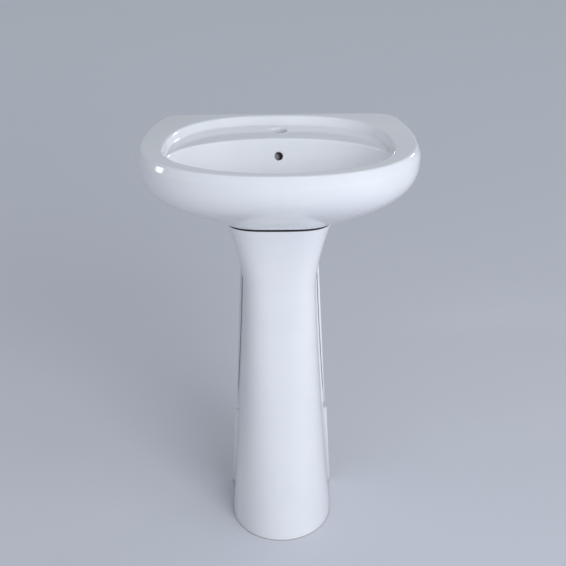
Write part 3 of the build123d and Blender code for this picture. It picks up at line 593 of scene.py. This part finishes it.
def basin_shell():
    """The basin as one solid: under the foot, up the hull, over the rim, down the bowl and into the drain."""
    hull = [hull_outline(1 - step / LEVEL_STEPS, 0) for step in range(LEVEL_STEPS + 1)]
    hull_lengths = [along_spokes(points) for points, _ in hull]
    hull_levels = [level for _, level in hull]
    rim_lengths = along_spokes(rim_outline())
    bowl = [bowl_outline(step / LEVEL_STEPS, 0) for step in range(LEVEL_STEPS + 1)]
    bowl_lengths = [along_spokes(points) for points, _ in bowl]
    bowl_levels = [level for _, level in bowl]
    edge_lengths = along_spokes(bowl_outline(LEDGE_DROP / BOWL_DEPTH, 0)[0])
    mouth_lengths = [max(pair) for pair in zip(along_spokes(recess_outline(0)), bowl_lengths[0])]
    cove_lengths = [max(pair) for pair in zip(along_spokes(recess_outline(LEDGE_SLOPE)), edge_lengths)]
    mouth_lengths = ease(mouth_lengths, BLEND_PASSES)
    cove_lengths = ease(cove_lengths, BLEND_PASSES)
    profiles = []
    for spoke in range(SPOKE_COUNT):
        hull_line = [(lengths[spoke], level) for lengths, level in zip(hull_lengths, hull_levels)]
        rim_corner = (rim_lengths[spoke], RIM_Z)
        mouth = (mouth_lengths[spoke], RIM_Z)
        cove = (cove_lengths[spoke], LEDGE_Z)
        edge = (min(edge_lengths[spoke], cove_lengths[spoke]), LEDGE_Z)
        bowl_line = [edge]
        for lengths, level in zip(bowl_lengths, bowl_levels):
            if level < LEDGE_Z - LEDGE_CLEAR:
                bowl_line.append((lengths[spoke], level))
        sections = [
            [(DRAIN_RADIUS, FOOT_Z), hull_line[0]],
            hull_line + [rim_corner],
            [rim_corner, mouth],
            [mouth, cove],
            [cove, edge],
            bowl_line,
        ]
        marks = drawn_profile(sections, SECTION_MARKS)
        marks += [
            (SEAT_RADIUS + 0.8 * SEAT_EDGE, BOWL_FLOOR_Z - 0.1 * SEAT_EDGE),
            (SEAT_RADIUS + 0.2 * SEAT_EDGE, BOWL_FLOOR_Z - 0.4 * SEAT_EDGE),
            (SEAT_RADIUS, BOWL_FLOOR_Z - SEAT_EDGE),
            (SEAT_RADIUS, SEAT_Z),
            (DRAIN_RADIUS, SEAT_Z),
            (DRAIN_RADIUS, FOOT_Z),
        ]
        profiles.append(marks)
    return welded("basin_china", rings_of(profiles))


def basin_hollow():
    """The hollow between the hull and the bowl, open to the back and below for the fixings and pipes."""
    start = (BULGE_Z - CAVITY_Z) / (BULGE_Z - FOOT_Z - SKIN)
    hull = [hull_outline(1 - (1 - start) * step / HOLLOW_STEPS, SKIN) for step in range(HOLLOW_STEPS + 1)]
    hull_lengths = [along_spokes(points) for points, _ in hull]
    top_share = (RIM_Z - CAVITY_Z) / (BOWL_DEPTH + SKIN)
    bowl_shares = [top_share + (1 - top_share) * step / HOLLOW_STEPS for step in range(HOLLOW_STEPS + 1)]
    bowl = [bowl_outline(share, SKIN) for share in bowl_shares]
    bowl_lengths = [along_spokes(points) for points, _ in bowl]
    profiles = []
    for spoke in range(SPOKE_COUNT):
        marks = [(lengths[spoke], level) for lengths, (_, level) in zip(hull_lengths, hull)]
        marks += [(lengths[spoke], level) for lengths, (_, level) in zip(bowl_lengths, bowl)]
        marks.append(marks[0])
        profiles.append(marks)
    hollow = welded("hollow", rings_of(profiles))
    service = block(
        "service_opening",
        (-SERVICE_WIDTH / 2, out(SERVICE_REACH), FOOT_Z - CUT_PAST),
        (SERVICE_WIDTH / 2, WALL_Y + CUT_PAST, RIM_Z - BACK_BAND),
    )
    combine(hollow, service, "UNION")
    rib = block(
        "overflow_rib",
        (-RIB_HALF_WIDTH, out(DRAIN_OUT), FOOT_Z - 2 * CUT_PAST),
        (RIB_HALF_WIDTH, out(RIB_BACK_OUT), OVERFLOW_Z + RIB_TOP_RISE),
    )
    cut_away(rib, (0, out(RIB_BACK_OUT), FOOT_Z + RIB_SLOPE_RISE), RIB_SLOPE_FACING)
    combine(hollow, rib, "DIFFERENCE")
    return hollow


def lipped_hole(name, radius, lip, depth, place):
    """Cutter for a round hole whose glazed edge rolls over by the lip's radius; along 0 is the surface."""
    brink = radius + lip
    profile = [(brink + 2 * HOLE_FLARE, 3 * HOLE_FLARE), (brink + HOLE_FLARE, 0.3 * HOLE_FLARE)]
    for step in range(LIP_STEPS + 1):
        angle = math.pi / 2 * step / LIP_STEPS
        profile.append((brink - lip * math.sin(angle), -lip + lip * math.cos(angle)))
    profile.append((radius, -depth))
    return turned(name, profile, place)


def overflow_mouth():
    """Centre of the overflow on the bowl's back wall."""
    wall_out = min(distance for _, distance in bowl_outline(OVERFLOW_DROP / BOWL_DEPTH, 0)[0])
    return Vector((0, out(wall_out), OVERFLOW_Z))


def build_basin():
    basin = basin_shell()
    combine(basin, basin_hollow(), "DIFFERENCE")
    tap_place = Matrix.Translation((0, out(TAP_OUT), LEDGE_Z))
    tap_hole = lipped_hole("tap_hole", TAP_RADIUS, TAP_LIP, 2 * LEDGE_THICK, tap_place)
    combine(basin, tap_hole, "DIFFERENCE")
    mouth = overflow_mouth()
    facing = Euler((math.radians(90 - OVERFLOW_TILT), 0, 0)).to_matrix().to_4x4()
    overflow_place = Matrix.Translation(mouth) @ facing
    overflow_depth = out(DUCT_BACK_OUT) - mouth.y
    overflow = lipped_hole("overflow_hole", OVERFLOW_RADIUS, OVERFLOW_LIP, overflow_depth, overflow_place)
    combine(basin, overflow, "DIFFERENCE")
    duct = block(
        "overflow_duct",
        (-DUCT_HALF_WIDTH, mouth.y + SKIN, DUCT_FLOOR_Z),
        (DUCT_HALF_WIDTH, out(DUCT_BACK_OUT), DUCT_TOP_Z),
    )
    combine(basin, duct, "DIFFERENCE")
    level = Euler((math.radians(90), 0, 0)).to_matrix().to_4x4()
    stud_profile = [(STUD_HOLE_RADIUS, -CUT_PAST), (STUD_HOLE_RADIUS, SKIN + CUT_PAST)]
    for side in (-1, 1):
        place = Matrix.Translation((side * STUD_SPACING / 2, WALL_Y, RIM_Z - STUD_DROP)) @ level
        hole = turned("stud_hole", stud_profile, place)
        combine(basin, hole, "DIFFERENCE")
    clean(basin)
    return basin


# Pedestal: a waisted sheet, thickened, with rear edge flanges and floor lugs

# Places along the column's side, counted ahead from the front of the rear flange
SIDE_PLACES = (FLANGE_BLEND, 0.006, 0.010, 0.015, 0.022, 0.036, 0.052, 0.070, 0.090)


def waist_share(height):
    """How far the pedestal has spread from its waist at this height, and towards which end."""
    if height <= WAIST_HEIGHT:
        return ((WAIST_HEIGHT - height) / WAIST_HEIGHT) ** BELLY_CURVE, 0.0
    return 0.0, ((height - WAIST_HEIGHT) / (PEDESTAL_HEIGHT - WAIST_HEIGHT)) ** FLARE_CURVE


def pedestal_half(height):
    belly, flare = waist_share(height)
    return (WAIST_WIDTH + (BASE_WIDTH - WAIST_WIDTH) * belly + (TOP_WIDTH - WAIST_WIDTH) * flare) / 2


def flange_edge(height):
    """Half width over the rear flanges, stepped out below the notch and cut in at it."""
    edge = (FLANGE_BASE_WIDTH + (FLANGE_TOP_WIDTH - FLANGE_BASE_WIDTH) * height / FLANGE_HEIGHT) / 2
    if height <= NOTCH_HEIGHT:
        return edge + FLANGE_STEP
    if height < NOTCH_HEIGHT + NOTCH_TALL:
        return edge - NOTCH_DEEP
    return edge


def pedestal_section(height):
    """Outer line of the column at this height, from its right rear edge round the front to its left one."""
    belly, flare = waist_share(height)
    half_width = pedestal_half(height)
    front = WAIST_FRONT_OUT
    front += (BASE_FRONT_OUT - WAIST_FRONT_OUT) * belly + (TOP_FRONT_OUT - WAIST_FRONT_OUT) * flare
    fullness = BASE_FULLNESS + (TOP_FULLNESS - BASE_FULLNESS) * height / PEDESTAL_HEIGHT
    face_out = PEDESTAL_BACK_OUT + FLANGE_THICK
    tip = flange_edge(height)
    blend = LOW_FLANGE_BLEND if height <= NOTCH_HEIGHT else FLANGE_BLEND
    if tip > half_width + FLANGE_LEAST:
        right = [(tip, face_out)]
    else:
        right = [(half_width, PEDESTAL_BACK_OUT)]
        tip = half_width
    for ahead in SIDE_PLACES:
        flange_share = max(0, 1 - ahead / blend) ** 2
        right.append((half_width + (tip - half_width) * flange_share, face_out + ahead))
    front_quarter = superellipse(half_width, front - PEDESTAL_WIDEST_OUT, fullness, COLUMN_FRONT_STEPS)
    right += [(x, PEDESTAL_WIDEST_OUT + ahead) for x, ahead in front_quarter]
    left = [(-x, distance) for x, distance in reversed(right[:-1])]
    return [Vector((x, out(distance), height)) for x, distance in right + left]


def flange_groove(side):
    """Cutter for the narrow groove that sets one upper flange off from the column."""
    start = NOTCH_HEIGHT + NOTCH_TALL
    front = out(PEDESTAL_BACK_OUT + 2 * FLANGE_THICK)
    floor = out(PEDESTAL_BACK_OUT + FLANGE_THICK - GROOVE_DEPTH)
    rings = []
    for step in range(GROOVE_STEPS + 1):
        height = start + (FLANGE_HEIGHT - start) * step / GROOVE_STEPS
        near = side * (pedestal_half(height) + GROOVE_START)
        far = near + side * GROOVE_WIDTH
        corners = ((near, front), (far, front), (far, floor), (near, floor))
        rings.append([Vector((x, y, height)) for x, y in corners])
    return capped("flange_groove", rings)


def build_pedestal():
    notch_top = NOTCH_HEIGHT + NOTCH_TALL
    levels = [PEDESTAL_HEIGHT * step / COLUMN_STEPS for step in range(-1, COLUMN_STEPS + 2)]
    levels += [NOTCH_HEIGHT, NOTCH_HEIGHT + NOTCH_EDGE, notch_top - NOTCH_EDGE, notch_top]
    levels = sorted(set(levels))
    column = loft("pedestal_china", [pedestal_section(level) for level in levels], closed=False)
    bpy.ops.mesh.select_all(action="SELECT")
    bpy.ops.mesh.remove_doubles(threshold=WELD)
    bpy.ops.object.mode_set(mode="OBJECT")
    front_face = min(column.data.polygons, key=lambda face: face.center.y)
    if front_face.normal.y > 0:
        column.data.flip_normals()
    pick(column)
    wall = column.modifiers.new("wall", "SOLIDIFY")
    wall.thickness = PEDESTAL_WALL
    wall.offset = -1
    wall.use_even_offset = True
    bpy.ops.object.modifier_apply(modifier=wall.name)
    cut_away(column, (0, 0, 0), (0, 0, -1))
    cut_away(column, (0, 0, PEDESTAL_HEIGHT), (0, 0, 1))
    edges = column.modifiers.new("edges", "BEVEL")
    edges.width = PEDESTAL_EDGE
    edges.segments = 3
    edges.limit_method = "ANGLE"
    edges.angle_limit = BEVEL_ANGLE
    bpy.ops.object.modifier_apply(modifier=edges.name)
    lug_x = pedestal_half(0) - PEDESTAL_WALL - LUG_WIDTH / 2
    screw_profile = [(LUG_HOLE_RADIUS, -CUT_PAST), (LUG_HOLE_RADIUS, LUG_THICK + CUT_PAST)]
    for side in (-1, 1):
        combine(column, flange_groove(side), "DIFFERENCE")
        inner = side * (lug_x - LUG_WIDTH / 2)
        outer = side * (lug_x + LUG_WIDTH / 2 + PEDESTAL_WALL / 2)
        lug = block(
            "floor_lug",
            (min(inner, outer), out(LUG_OUT + LUG_LENGTH / 2), LUG_LIFT),
            (max(inner, outer), out(LUG_OUT - LUG_LENGTH / 2), LUG_THICK),
        )
        combine(column, lug, "UNION")
        place = Matrix.Translation((side * lug_x, out(LUG_OUT), 0))
        combine(column, turned("lug_hole", screw_profile, place), "DIFFERENCE")
    clean(column)
    return column


def build_spring():
    """The stopper's coil spring: a wire circle swept up a screw line."""
    radius = (spring_high.x - spring_low.x) / 2 - SPRING_WIRE_RADIUS
    height = spring_high.z - spring_low.z - 2 * SPRING_WIRE_RADIUS
    clear_selection()
    bpy.ops.mesh.primitive_circle_add(
        vertices=WIRE_SIDES,
        radius=SPRING_WIRE_RADIUS,
        location=(radius, 0, 0),
        rotation=(math.radians(90), 0, 0),
    )
    spring = bpy.context.object
    spring.name = "stopper_coil"
    bpy.ops.object.transform_apply(location=True, rotation=True, scale=True)
    coil = spring.modifiers.new("coil", "SCREW")
    coil.angle = 2 * math.pi * SPRING_TURNS
    coil.screw_offset = height
    coil.steps = COIL_STEPS * SPRING_TURNS
    coil.render_steps = coil.steps
    coil.use_merge_vertices = True
    bpy.ops.object.modifier_apply(modifier=coil.name)
    bpy.ops.object.mode_set(mode="EDIT")
    bpy.ops.mesh.select_all(action="DESELECT")
    bpy.ops.mesh.select_non_manifold()
    bpy.ops.mesh.edge_face_add()
    bpy.ops.mesh.select_all(action="SELECT")
    bpy.ops.mesh.normals_make_consistent(inside=False)
    bpy.ops.transform.translate(value=(0, DRAIN_Y, spring_low.z + SPRING_WIRE_RADIUS))
    bpy.ops.object.mode_set(mode="OBJECT")
    bpy.ops.object.shade_smooth_by_angle(angle=WIRE_SMOOTH_ANGLE)
    return spring


# Finishes

class Value:
    """A number, colour or place that varies over a surface: one socket in a finish's node tree."""

    def __init__(self, tree, socket=None):
        self.tree = tree
        self.socket = socket

    def node(self, kind, settings, inputs, output=0):
        """Adds one node: its settings first, then the values or links of its sockets."""
        made = self.tree.nodes.new(kind)
        for name, setting in settings.items():
            setattr(made, name, setting)
        for name, value in inputs.items():
            socket = made.inputs[name]
            if isinstance(value, Value):
                self.tree.links.new(value.socket, socket)
            else:
                socket.default_value = value
        return Value(self.tree, made.outputs[output] if made.outputs else None)

    def math(self, operation, left, right):
        return self.node("ShaderNodeMath", {"operation": operation}, {0: left, 1: right})

    def __add__(self, other):
        return self.math("ADD", self, other)

    def __sub__(self, other):
        return self.math("SUBTRACT", self, other)

    def __rsub__(self, other):
        return self.math("SUBTRACT", other, self)

    def __mul__(self, other):
        return self.math("MULTIPLY", self, other)

    __radd__ = __add__
    __rmul__ = __mul__

    def between(self, low, high):
        """0 below low, 1 above high and a soft step from one to the other."""
        settings = {"interpolation_type": "SMOOTHSTEP"}
        return self.node("ShaderNodeMapRange", settings, {"Value": self, "From Min": low, "From Max": high})

    def within(self, low, high, edge):
        """1 from low to high, with a soft step of this width a little outside each of them."""
        return self.between(low - 2 * edge, low - edge) - self.between(high + edge, high + 2 * edge)

    def blend(self, first, second):
        """The first colour where this is 0 and the second where it is 1."""
        settings = {"data_type": "RGBA"}
        return self.node("ShaderNodeMix", settings, {"Factor": self, "A": first, "B": second}, "Result")


def colour(red, green, blue):
    return (red, green, blue, 1.0)


class Finish:
    """A material under way: where its surface is, the patterns read there, and its finished shader."""

    def __init__(self, name):
        self.material = bpy.data.materials.new(name)
        self.material.use_nodes = True
        tree = self.material.node_tree
        tree.nodes.clear()
        self.start = Value(tree)
        self.place = self.start.node("ShaderNodeTexCoord", {}, {}, "Object")

    def noise(self, scale, detail, place=None):
        inputs = {"Vector": place or self.place, "Scale": scale, "Detail": detail}
        return self.start.node("ShaderNodeTexNoise", {}, inputs, "Fac")

    def cells(self, scale):
        return self.start.node("ShaderNodeTexVoronoi", {}, {"Vector": self.place, "Scale": scale}, "Distance")

    def axis(self, name):
        return self.start.node("ShaderNodeSeparateXYZ", {}, {"Vector": self.place}, name)

    def stretched(self, across, deep, tall):
        """The place with its axes scaled, for marks that run one way."""
        return self.start.node("ShaderNodeMapping", {}, {"Vector": self.place, "Scale": (across, deep, tall)})

    def thread(self, name, pitch):
        """A ridge that repeats every pitch along one axis, from 0 to 1."""
        turn = self.axis(name) * (2 * math.pi / pitch)
        wave = self.start.node("ShaderNodeMath", {"operation": "SINE"}, {0: turn})
        return wave * 0.5 + 0.5

    def done(self, surface, relief, relief_depth):
        """Ends the finish with one glossy shader whose relief is this many metres deep."""
        bump = self.start.node("ShaderNodeBump", {}, {"Height": relief, "Distance": relief_depth}, "Normal")
        shader = self.start.node("ShaderNodeBsdfPrincipled", {}, {**surface, "Normal": bump}, "BSDF")
        self.start.node("ShaderNodeOutputMaterial", {}, {"Surface": shader})
        return self.material


GLAZE_WHITE = colour(0.892, 0.886, 0.906)
GLAZE_POOL = colour(0.862, 0.858, 0.882)
# Bare biscuit at the pedestal's foot, darkened as painted contact shade along the floor.
BISCUIT_AND_CONTACT_SHADE = colour(0.40, 0.375, 0.35)
# Near-black bare china: painted shade for the seam under the basin and inside the overflow duct.
PAINTED_SHADE_TONE = colour(0.075, 0.070, 0.065)
SPECK_BROWN = colour(0.45, 0.40, 0.34)
# How strongly shade is painted inside the overflow duct.
DUCT_SHADE_STRENGTH = 0.8
MASK_EDGE = 0.0005
GLAZE_EDGE = 0.0003
GLAZE_WANDER = 0.0004
BASIN_BARE_RISE = 0.0004
PEDESTAL_BARE_RISE = 0.0018
PEDESTAL_BARE_TOP = 0.0006


def duct_painted_shade(china):
    """1 where shade is painted on the walls of the overflow and its duct, 0 on the bowl and on the spot where
    light falls in.
    """
    mouth = overflow_mouth()
    tilt = math.radians(OVERFLOW_TILT)
    back = out(DUCT_BACK_OUT)
    across = china.axis("X")
    height = china.axis("Z")
    inward = (china.axis("Y") - mouth.y) * math.cos(tilt) - (height - mouth.z) * math.sin(tilt)
    aside = across.within(-DUCT_HALF_WIDTH, DUCT_HALF_WIDTH, MASK_EDGE)
    level = height.within(DUCT_FLOOR_Z, DUCT_TOP_Z, MASK_EDGE)
    before = 1 - china.axis("Y").between(back + MASK_EDGE, back + 2 * MASK_EDGE)
    spot_across = across + OVERFLOW_LIT_ASIDE
    spot_up = height - (OVERFLOW_Z - OVERFLOW_LIT_BELOW)
    spot_square = OVERFLOW_LIT_RADIUS**2
    unlit = (spot_across * spot_across + spot_up * spot_up).between(0.7 * spot_square, spot_square)
    return inward.between(0.6 * SKIN, SKIN) * aside * before * level * unlit * DUCT_SHADE_STRENGTH


def ragged_height(china):
    """Height that wanders a little, for the uneven edge of the glaze."""
    return china.axis("Z") + china.noise(180.0, 2.0) * GLAZE_WANDER


def pedestal_top(china):
    """1 on the unglazed top edge of the pedestal, which is painted near black as the shade in the gap under the
    basin.
    """
    top = PEDESTAL_HEIGHT - PEDESTAL_BARE_TOP
    return ragged_height(china).between(top, top + GLAZE_EDGE)


def china_finish(name, foot_level, foot_shade_tone, shaded_part):
    """White gloss glaze with soft pooling and faint specks, matt and unglazed at its foot and on its shaded
    part; the foot tone and the near-black tone there are painted shade.
    """
    china = Finish(name)
    pooling = china.noise(7.0, 2.0).between(0.35, 0.7)
    specks = 1 - china.cells(260.0).between(0.02, 0.045)
    rare = china.noise(21.0, 1.0).between(0.60, 0.66)
    foot = 1 - ragged_height(china).between(foot_level, foot_level + GLAZE_EDGE)
    painted_shade = shaded_part(china)
    bare_and_shaded = foot + painted_shade
    glaze = pooling.blend(GLAZE_WHITE, GLAZE_POOL)
    speckled = (specks * rare * 0.35).blend(glaze, SPECK_BROWN)
    # Painted shade: the foot takes its foot tone over the bare china, and the shaded part is painted near
    # black.
    coloured = painted_shade.blend(foot.blend(speckled, foot_shade_tone), PAINTED_SHADE_TONE)
    gloss = china.noise(55.0, 3.0).between(0.3, 0.8) * 0.03 + 0.075
    surface = {
        "Base Color": coloured,
        "Roughness": gloss + bare_and_shaded * 0.6,
        "Coat Weight": 0.5 - bare_and_shaded * 0.5,
        "Coat Roughness": 0.03,
        "IOR": 1.52,
    }
    relief = china.noise(38.0, 2.0) * (1 - bare_and_shaded) + china.noise(1500.0, 2.0) * bare_and_shaded * 0.8
    return china.done(surface, relief, 0.00006)


def chrome_finish(name, thread=None):
    """Polished chrome plate with fine rub marks, dried water spots and, where one is cut, a thread."""
    chrome = Finish(name)
    rubbed = chrome.noise(60.0, 4.0, chrome.stretched(1.0, 1.0, 9.0))
    spots = 1 - chrome.cells(95.0).between(0.10, 0.16)
    smear = chrome.noise(24.0, 3.0).between(0.5, 0.75)
    tone = smear.blend(colour(0.80, 0.81, 0.82), colour(0.70, 0.71, 0.725))
    surface = {
        "Base Color": tone,
        "Metallic": 1.0,
        "Roughness": rubbed * 0.05 + smear * 0.07 + spots * smear * 0.12 + 0.05,
    }
    relief = rubbed * 0.04
    if thread:
        axis, pitch, low, high = thread
        along = chrome.axis(axis)
        cut = along.between(low, low + MASK_EDGE) * (1 - along.between(high, high + MASK_EDGE))
        relief = relief + chrome.thread(axis, pitch) * cut
    return chrome.done(surface, relief, 0.0006 if thread else 0.00008)


def brass_finish(name):
    """Machined brass with turning lines and brown tarnish in patches."""
    brass = Finish(name)
    tarnish = brass.noise(90.0, 4.0).between(0.48, 0.72)
    turning = brass.noise(20.0, 2.0, brass.stretched(2.0, 2.0, 220.0))
    tone = tarnish.blend(colour(0.74, 0.56, 0.26), colour(0.46, 0.31, 0.13))
    surface = {"Base Color": tone, "Metallic": 1.0, "Roughness": turning * 0.12 + tarnish * 0.22 + 0.2}
    return brass.done(surface, turning, 0.00012)


def rubber_finish(name):
    """Matt black rubber with a fine moulded grain and grey bloom."""
    rubber = Finish(name)
    grain = rubber.noise(1400.0, 3.0)
    bloom = rubber.noise(70.0, 3.0).between(0.5, 0.8)
    tone = bloom.blend(colour(0.028, 0.028, 0.030), colour(0.075, 0.075, 0.078))
    surface = {"Base Color": tone, "Roughness": 0.9 - bloom * 0.18 - grain * 0.1}
    return rubber.done(surface, grain, 0.00012)


def nylon_finish(name):
    """Natural nylon: a waxy off-white with flow marks and a satin skin."""
    nylon = Finish(name)
    flow = nylon.noise(45.0, 3.0, nylon.stretched(1.0, 1.0, 4.0)).between(0.35, 0.75)
    grain = nylon.noise(900.0, 2.0)
    tone = flow.blend(colour(0.80, 0.78, 0.71), colour(0.70, 0.67, 0.58))
    surface = {"Base Color": tone, "Roughness": grain * 0.12 + flow * 0.1 + 0.32}
    return nylon.done(surface, grain, 0.00008)


def zinc_finish(name, thread=None):
    """Bright zinc plate, patchy and slightly blue, with dull spots and, where one is cut, a thread."""
    zinc = Finish(name)
    patches = zinc.noise(150.0, 4.0).between(0.35, 0.7)
    dull = zinc.noise(420.0, 3.0).between(0.52, 0.7)
    tone = patches.blend(colour(0.60, 0.62, 0.66), colour(0.47, 0.48, 0.49))
    surface = {"Base Color": tone, "Metallic": 1.0, "Roughness": patches * 0.1 + dull * 0.18 + 0.24}
    relief = dull * 0.1
    if thread:
        axis, pitch = thread
        relief = relief + zinc.thread(axis, pitch)
    return zinc.done(surface, relief, 0.0007 if thread else 0.0001)


def floor_finish():
    """Plain pale floor with the faintest mottling, painted paler far behind the object as painted light that
    makes up for the light falling off there.
    """
    floor = Finish("studio_floor")
    mottling = floor.noise(1.3, 3.0).between(0.3, 0.8)
    near = mottling.blend(colour(0.790, 0.785, 0.845), colour(0.770, 0.765, 0.825))
    # Painted light: the floor's tone turns paler far behind the object.
    behind = floor.axis("Y").between(PALER_FROM - FLOOR_MIDDLE, PALEST_FROM - FLOOR_MIDDLE)
    tone = behind.blend(near, colour(0.94, 0.95, 1.0))
    surface = {"Base Color": tone, "Roughness": mottling * 0.05 + 0.62}
    return floor.done(surface, floor.noise(300.0, 2.0), 0.00005)


def paint(piece, material):
    """Puts one finish in every material slot of a piece."""
    if not piece.data.materials:
        piece.data.materials.append(material)
    for slot in piece.material_slots:
        slot.material = material


# Pieces made here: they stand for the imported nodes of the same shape
basin = build_basin()
pedestal = build_pedestal()
spring = build_spring()
for piece, node, slot_name in (
    (basin, "basin", "china"),
    (pedestal, "pedestal", "china"),
    (spring, "stopper_spring", "zinc_steel"),
):
    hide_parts(node)
    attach(piece, "sink")
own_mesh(spring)

# The basin's foot and its overflow duct are painted near black as shade.
paint(basin, china_finish("basin_glaze", FOOT_Z + BASIN_BARE_RISE, PAINTED_SHADE_TONE, duct_painted_shade))
# The pedestal's foot band is painted dark as contact shade, and its top edge near black as the shade of the
# seam.
paint(pedestal, china_finish("pedestal_glaze", PEDESTAL_BARE_RISE, BISCUIT_AND_CONTACT_SHADE, pedestal_top))

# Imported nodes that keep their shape
slot_finishes = {
    "chrome": chrome_finish("chrome_plate"),
    "brass": brass_finish("machined_brass"),
    "rubber": rubber_finish("black_rubber"),
    "nylon": nylon_finish("natural_nylon"),
    "zinc_steel": zinc_finish("zinc_plate"),
}
nut_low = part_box("trap_coupling_nut")[0].z
own_finishes = {
    "wall_studs": zinc_finish("stud_thread", ("Y", STUD_PITCH)),
    "waste_body": chrome_finish("waste_thread", ("Z", WASTE_PITCH, nut_low, FOOT_Z)),
}
paint(spring, slot_finishes["zinc_steel"])
for subpart in frame["record"]["subparts"]:
    name = subpart["node"]
    if subpart["material_slot"] in slot_finishes and name != "stopper_spring":
        paint(frame["nodes"][name], own_finishes.get(name, slot_finishes[subpart["material_slot"]]))

# Studio: a pale floor, two broad soft lights, a narrow one into the bowl and three that the glaze mirrors

def soft_light(name, watts, size, place, aim, spread=180, mirrored=False):
    """A soft box at a place, turned to its aim; the glaze mirrors it or only takes its light."""
    bpy.ops.object.light_add(type="AREA", location=place)
    lamp = bpy.context.object
    lamp.name = name
    lamp.data.energy = watts
    lamp.data.shape = "RECTANGLE"
    lamp.data.size, lamp.data.size_y = size
    lamp.data.color = COOL_WHITE
    lamp.data.spread = math.radians(spread)
    lamp.visible_glossy = mirrored
    lamp.rotation_euler = (Vector(aim) - Vector(place)).to_track_quat("-Z", "Y").to_euler()


clear_selection()
bpy.ops.mesh.primitive_plane_add(size=FLOOR_SIZE, location=(0, FLOOR_MIDDLE, 0))
floor = bpy.context.object
floor.name = "studio_floor"
paint(floor, floor_finish())

soft_light("key_light", 84, (2.4, 2.4), (1.94, -4.16, 2.94), (0, 0, 0.5))
soft_light("fill_light", 80, (6.0, 2.2), (3.40, -3.35, 1.80), (0, 0, 0.45))
soft_light("bowl_light", 0.042, (0.3, 0.3), (-1.10, -1.60, 2.80), (0.09, 0.05, 0.79), spread=10)
soft_light("left_sparkle", 0.028, (0.30, 0.34), (-1.38, -0.05, 1.07), (-0.24, -0.12, 0.83), 16, mirrored=True)
soft_light("right_sparkle", 0.5, (0.5, 0.5), (2.40, 2.00, 1.45), (0, 0, 0.84), 30, mirrored=True)
soft_light("back_sparkle", 0.012, (0.4, 0.4), (-0.11, 4.90, 1.35), (0.33, -0.06, 0.85), 6, mirrored=True)

world = bpy.data.worlds.new("studio_air")
world.use_nodes = True
bpy.context.scene.world = world
backdrop = world.node_tree.nodes["Background"]
backdrop.inputs["Color"].default_value = colour(*SKY_BLUE)
backdrop.inputs["Strength"].default_value = SKY_STRENGTH

bpy.ops.object.camera_add(location=CAMERA_PLACE)
camera = bpy.context.object
camera.data.lens = CAMERA_LENS
camera.data.sensor_width = CAMERA_SENSOR
tilt = Matrix.Rotation(math.radians(90 - CAMERA_PITCH), 3, "X")
camera.rotation_euler = (tilt @ Matrix.Rotation(math.radians(-CAMERA_ROLL), 3, "Z")).to_euler()
bpy.context.scene.camera = camera
bpy.context.scene.view_settings.view_transform = "Standard"
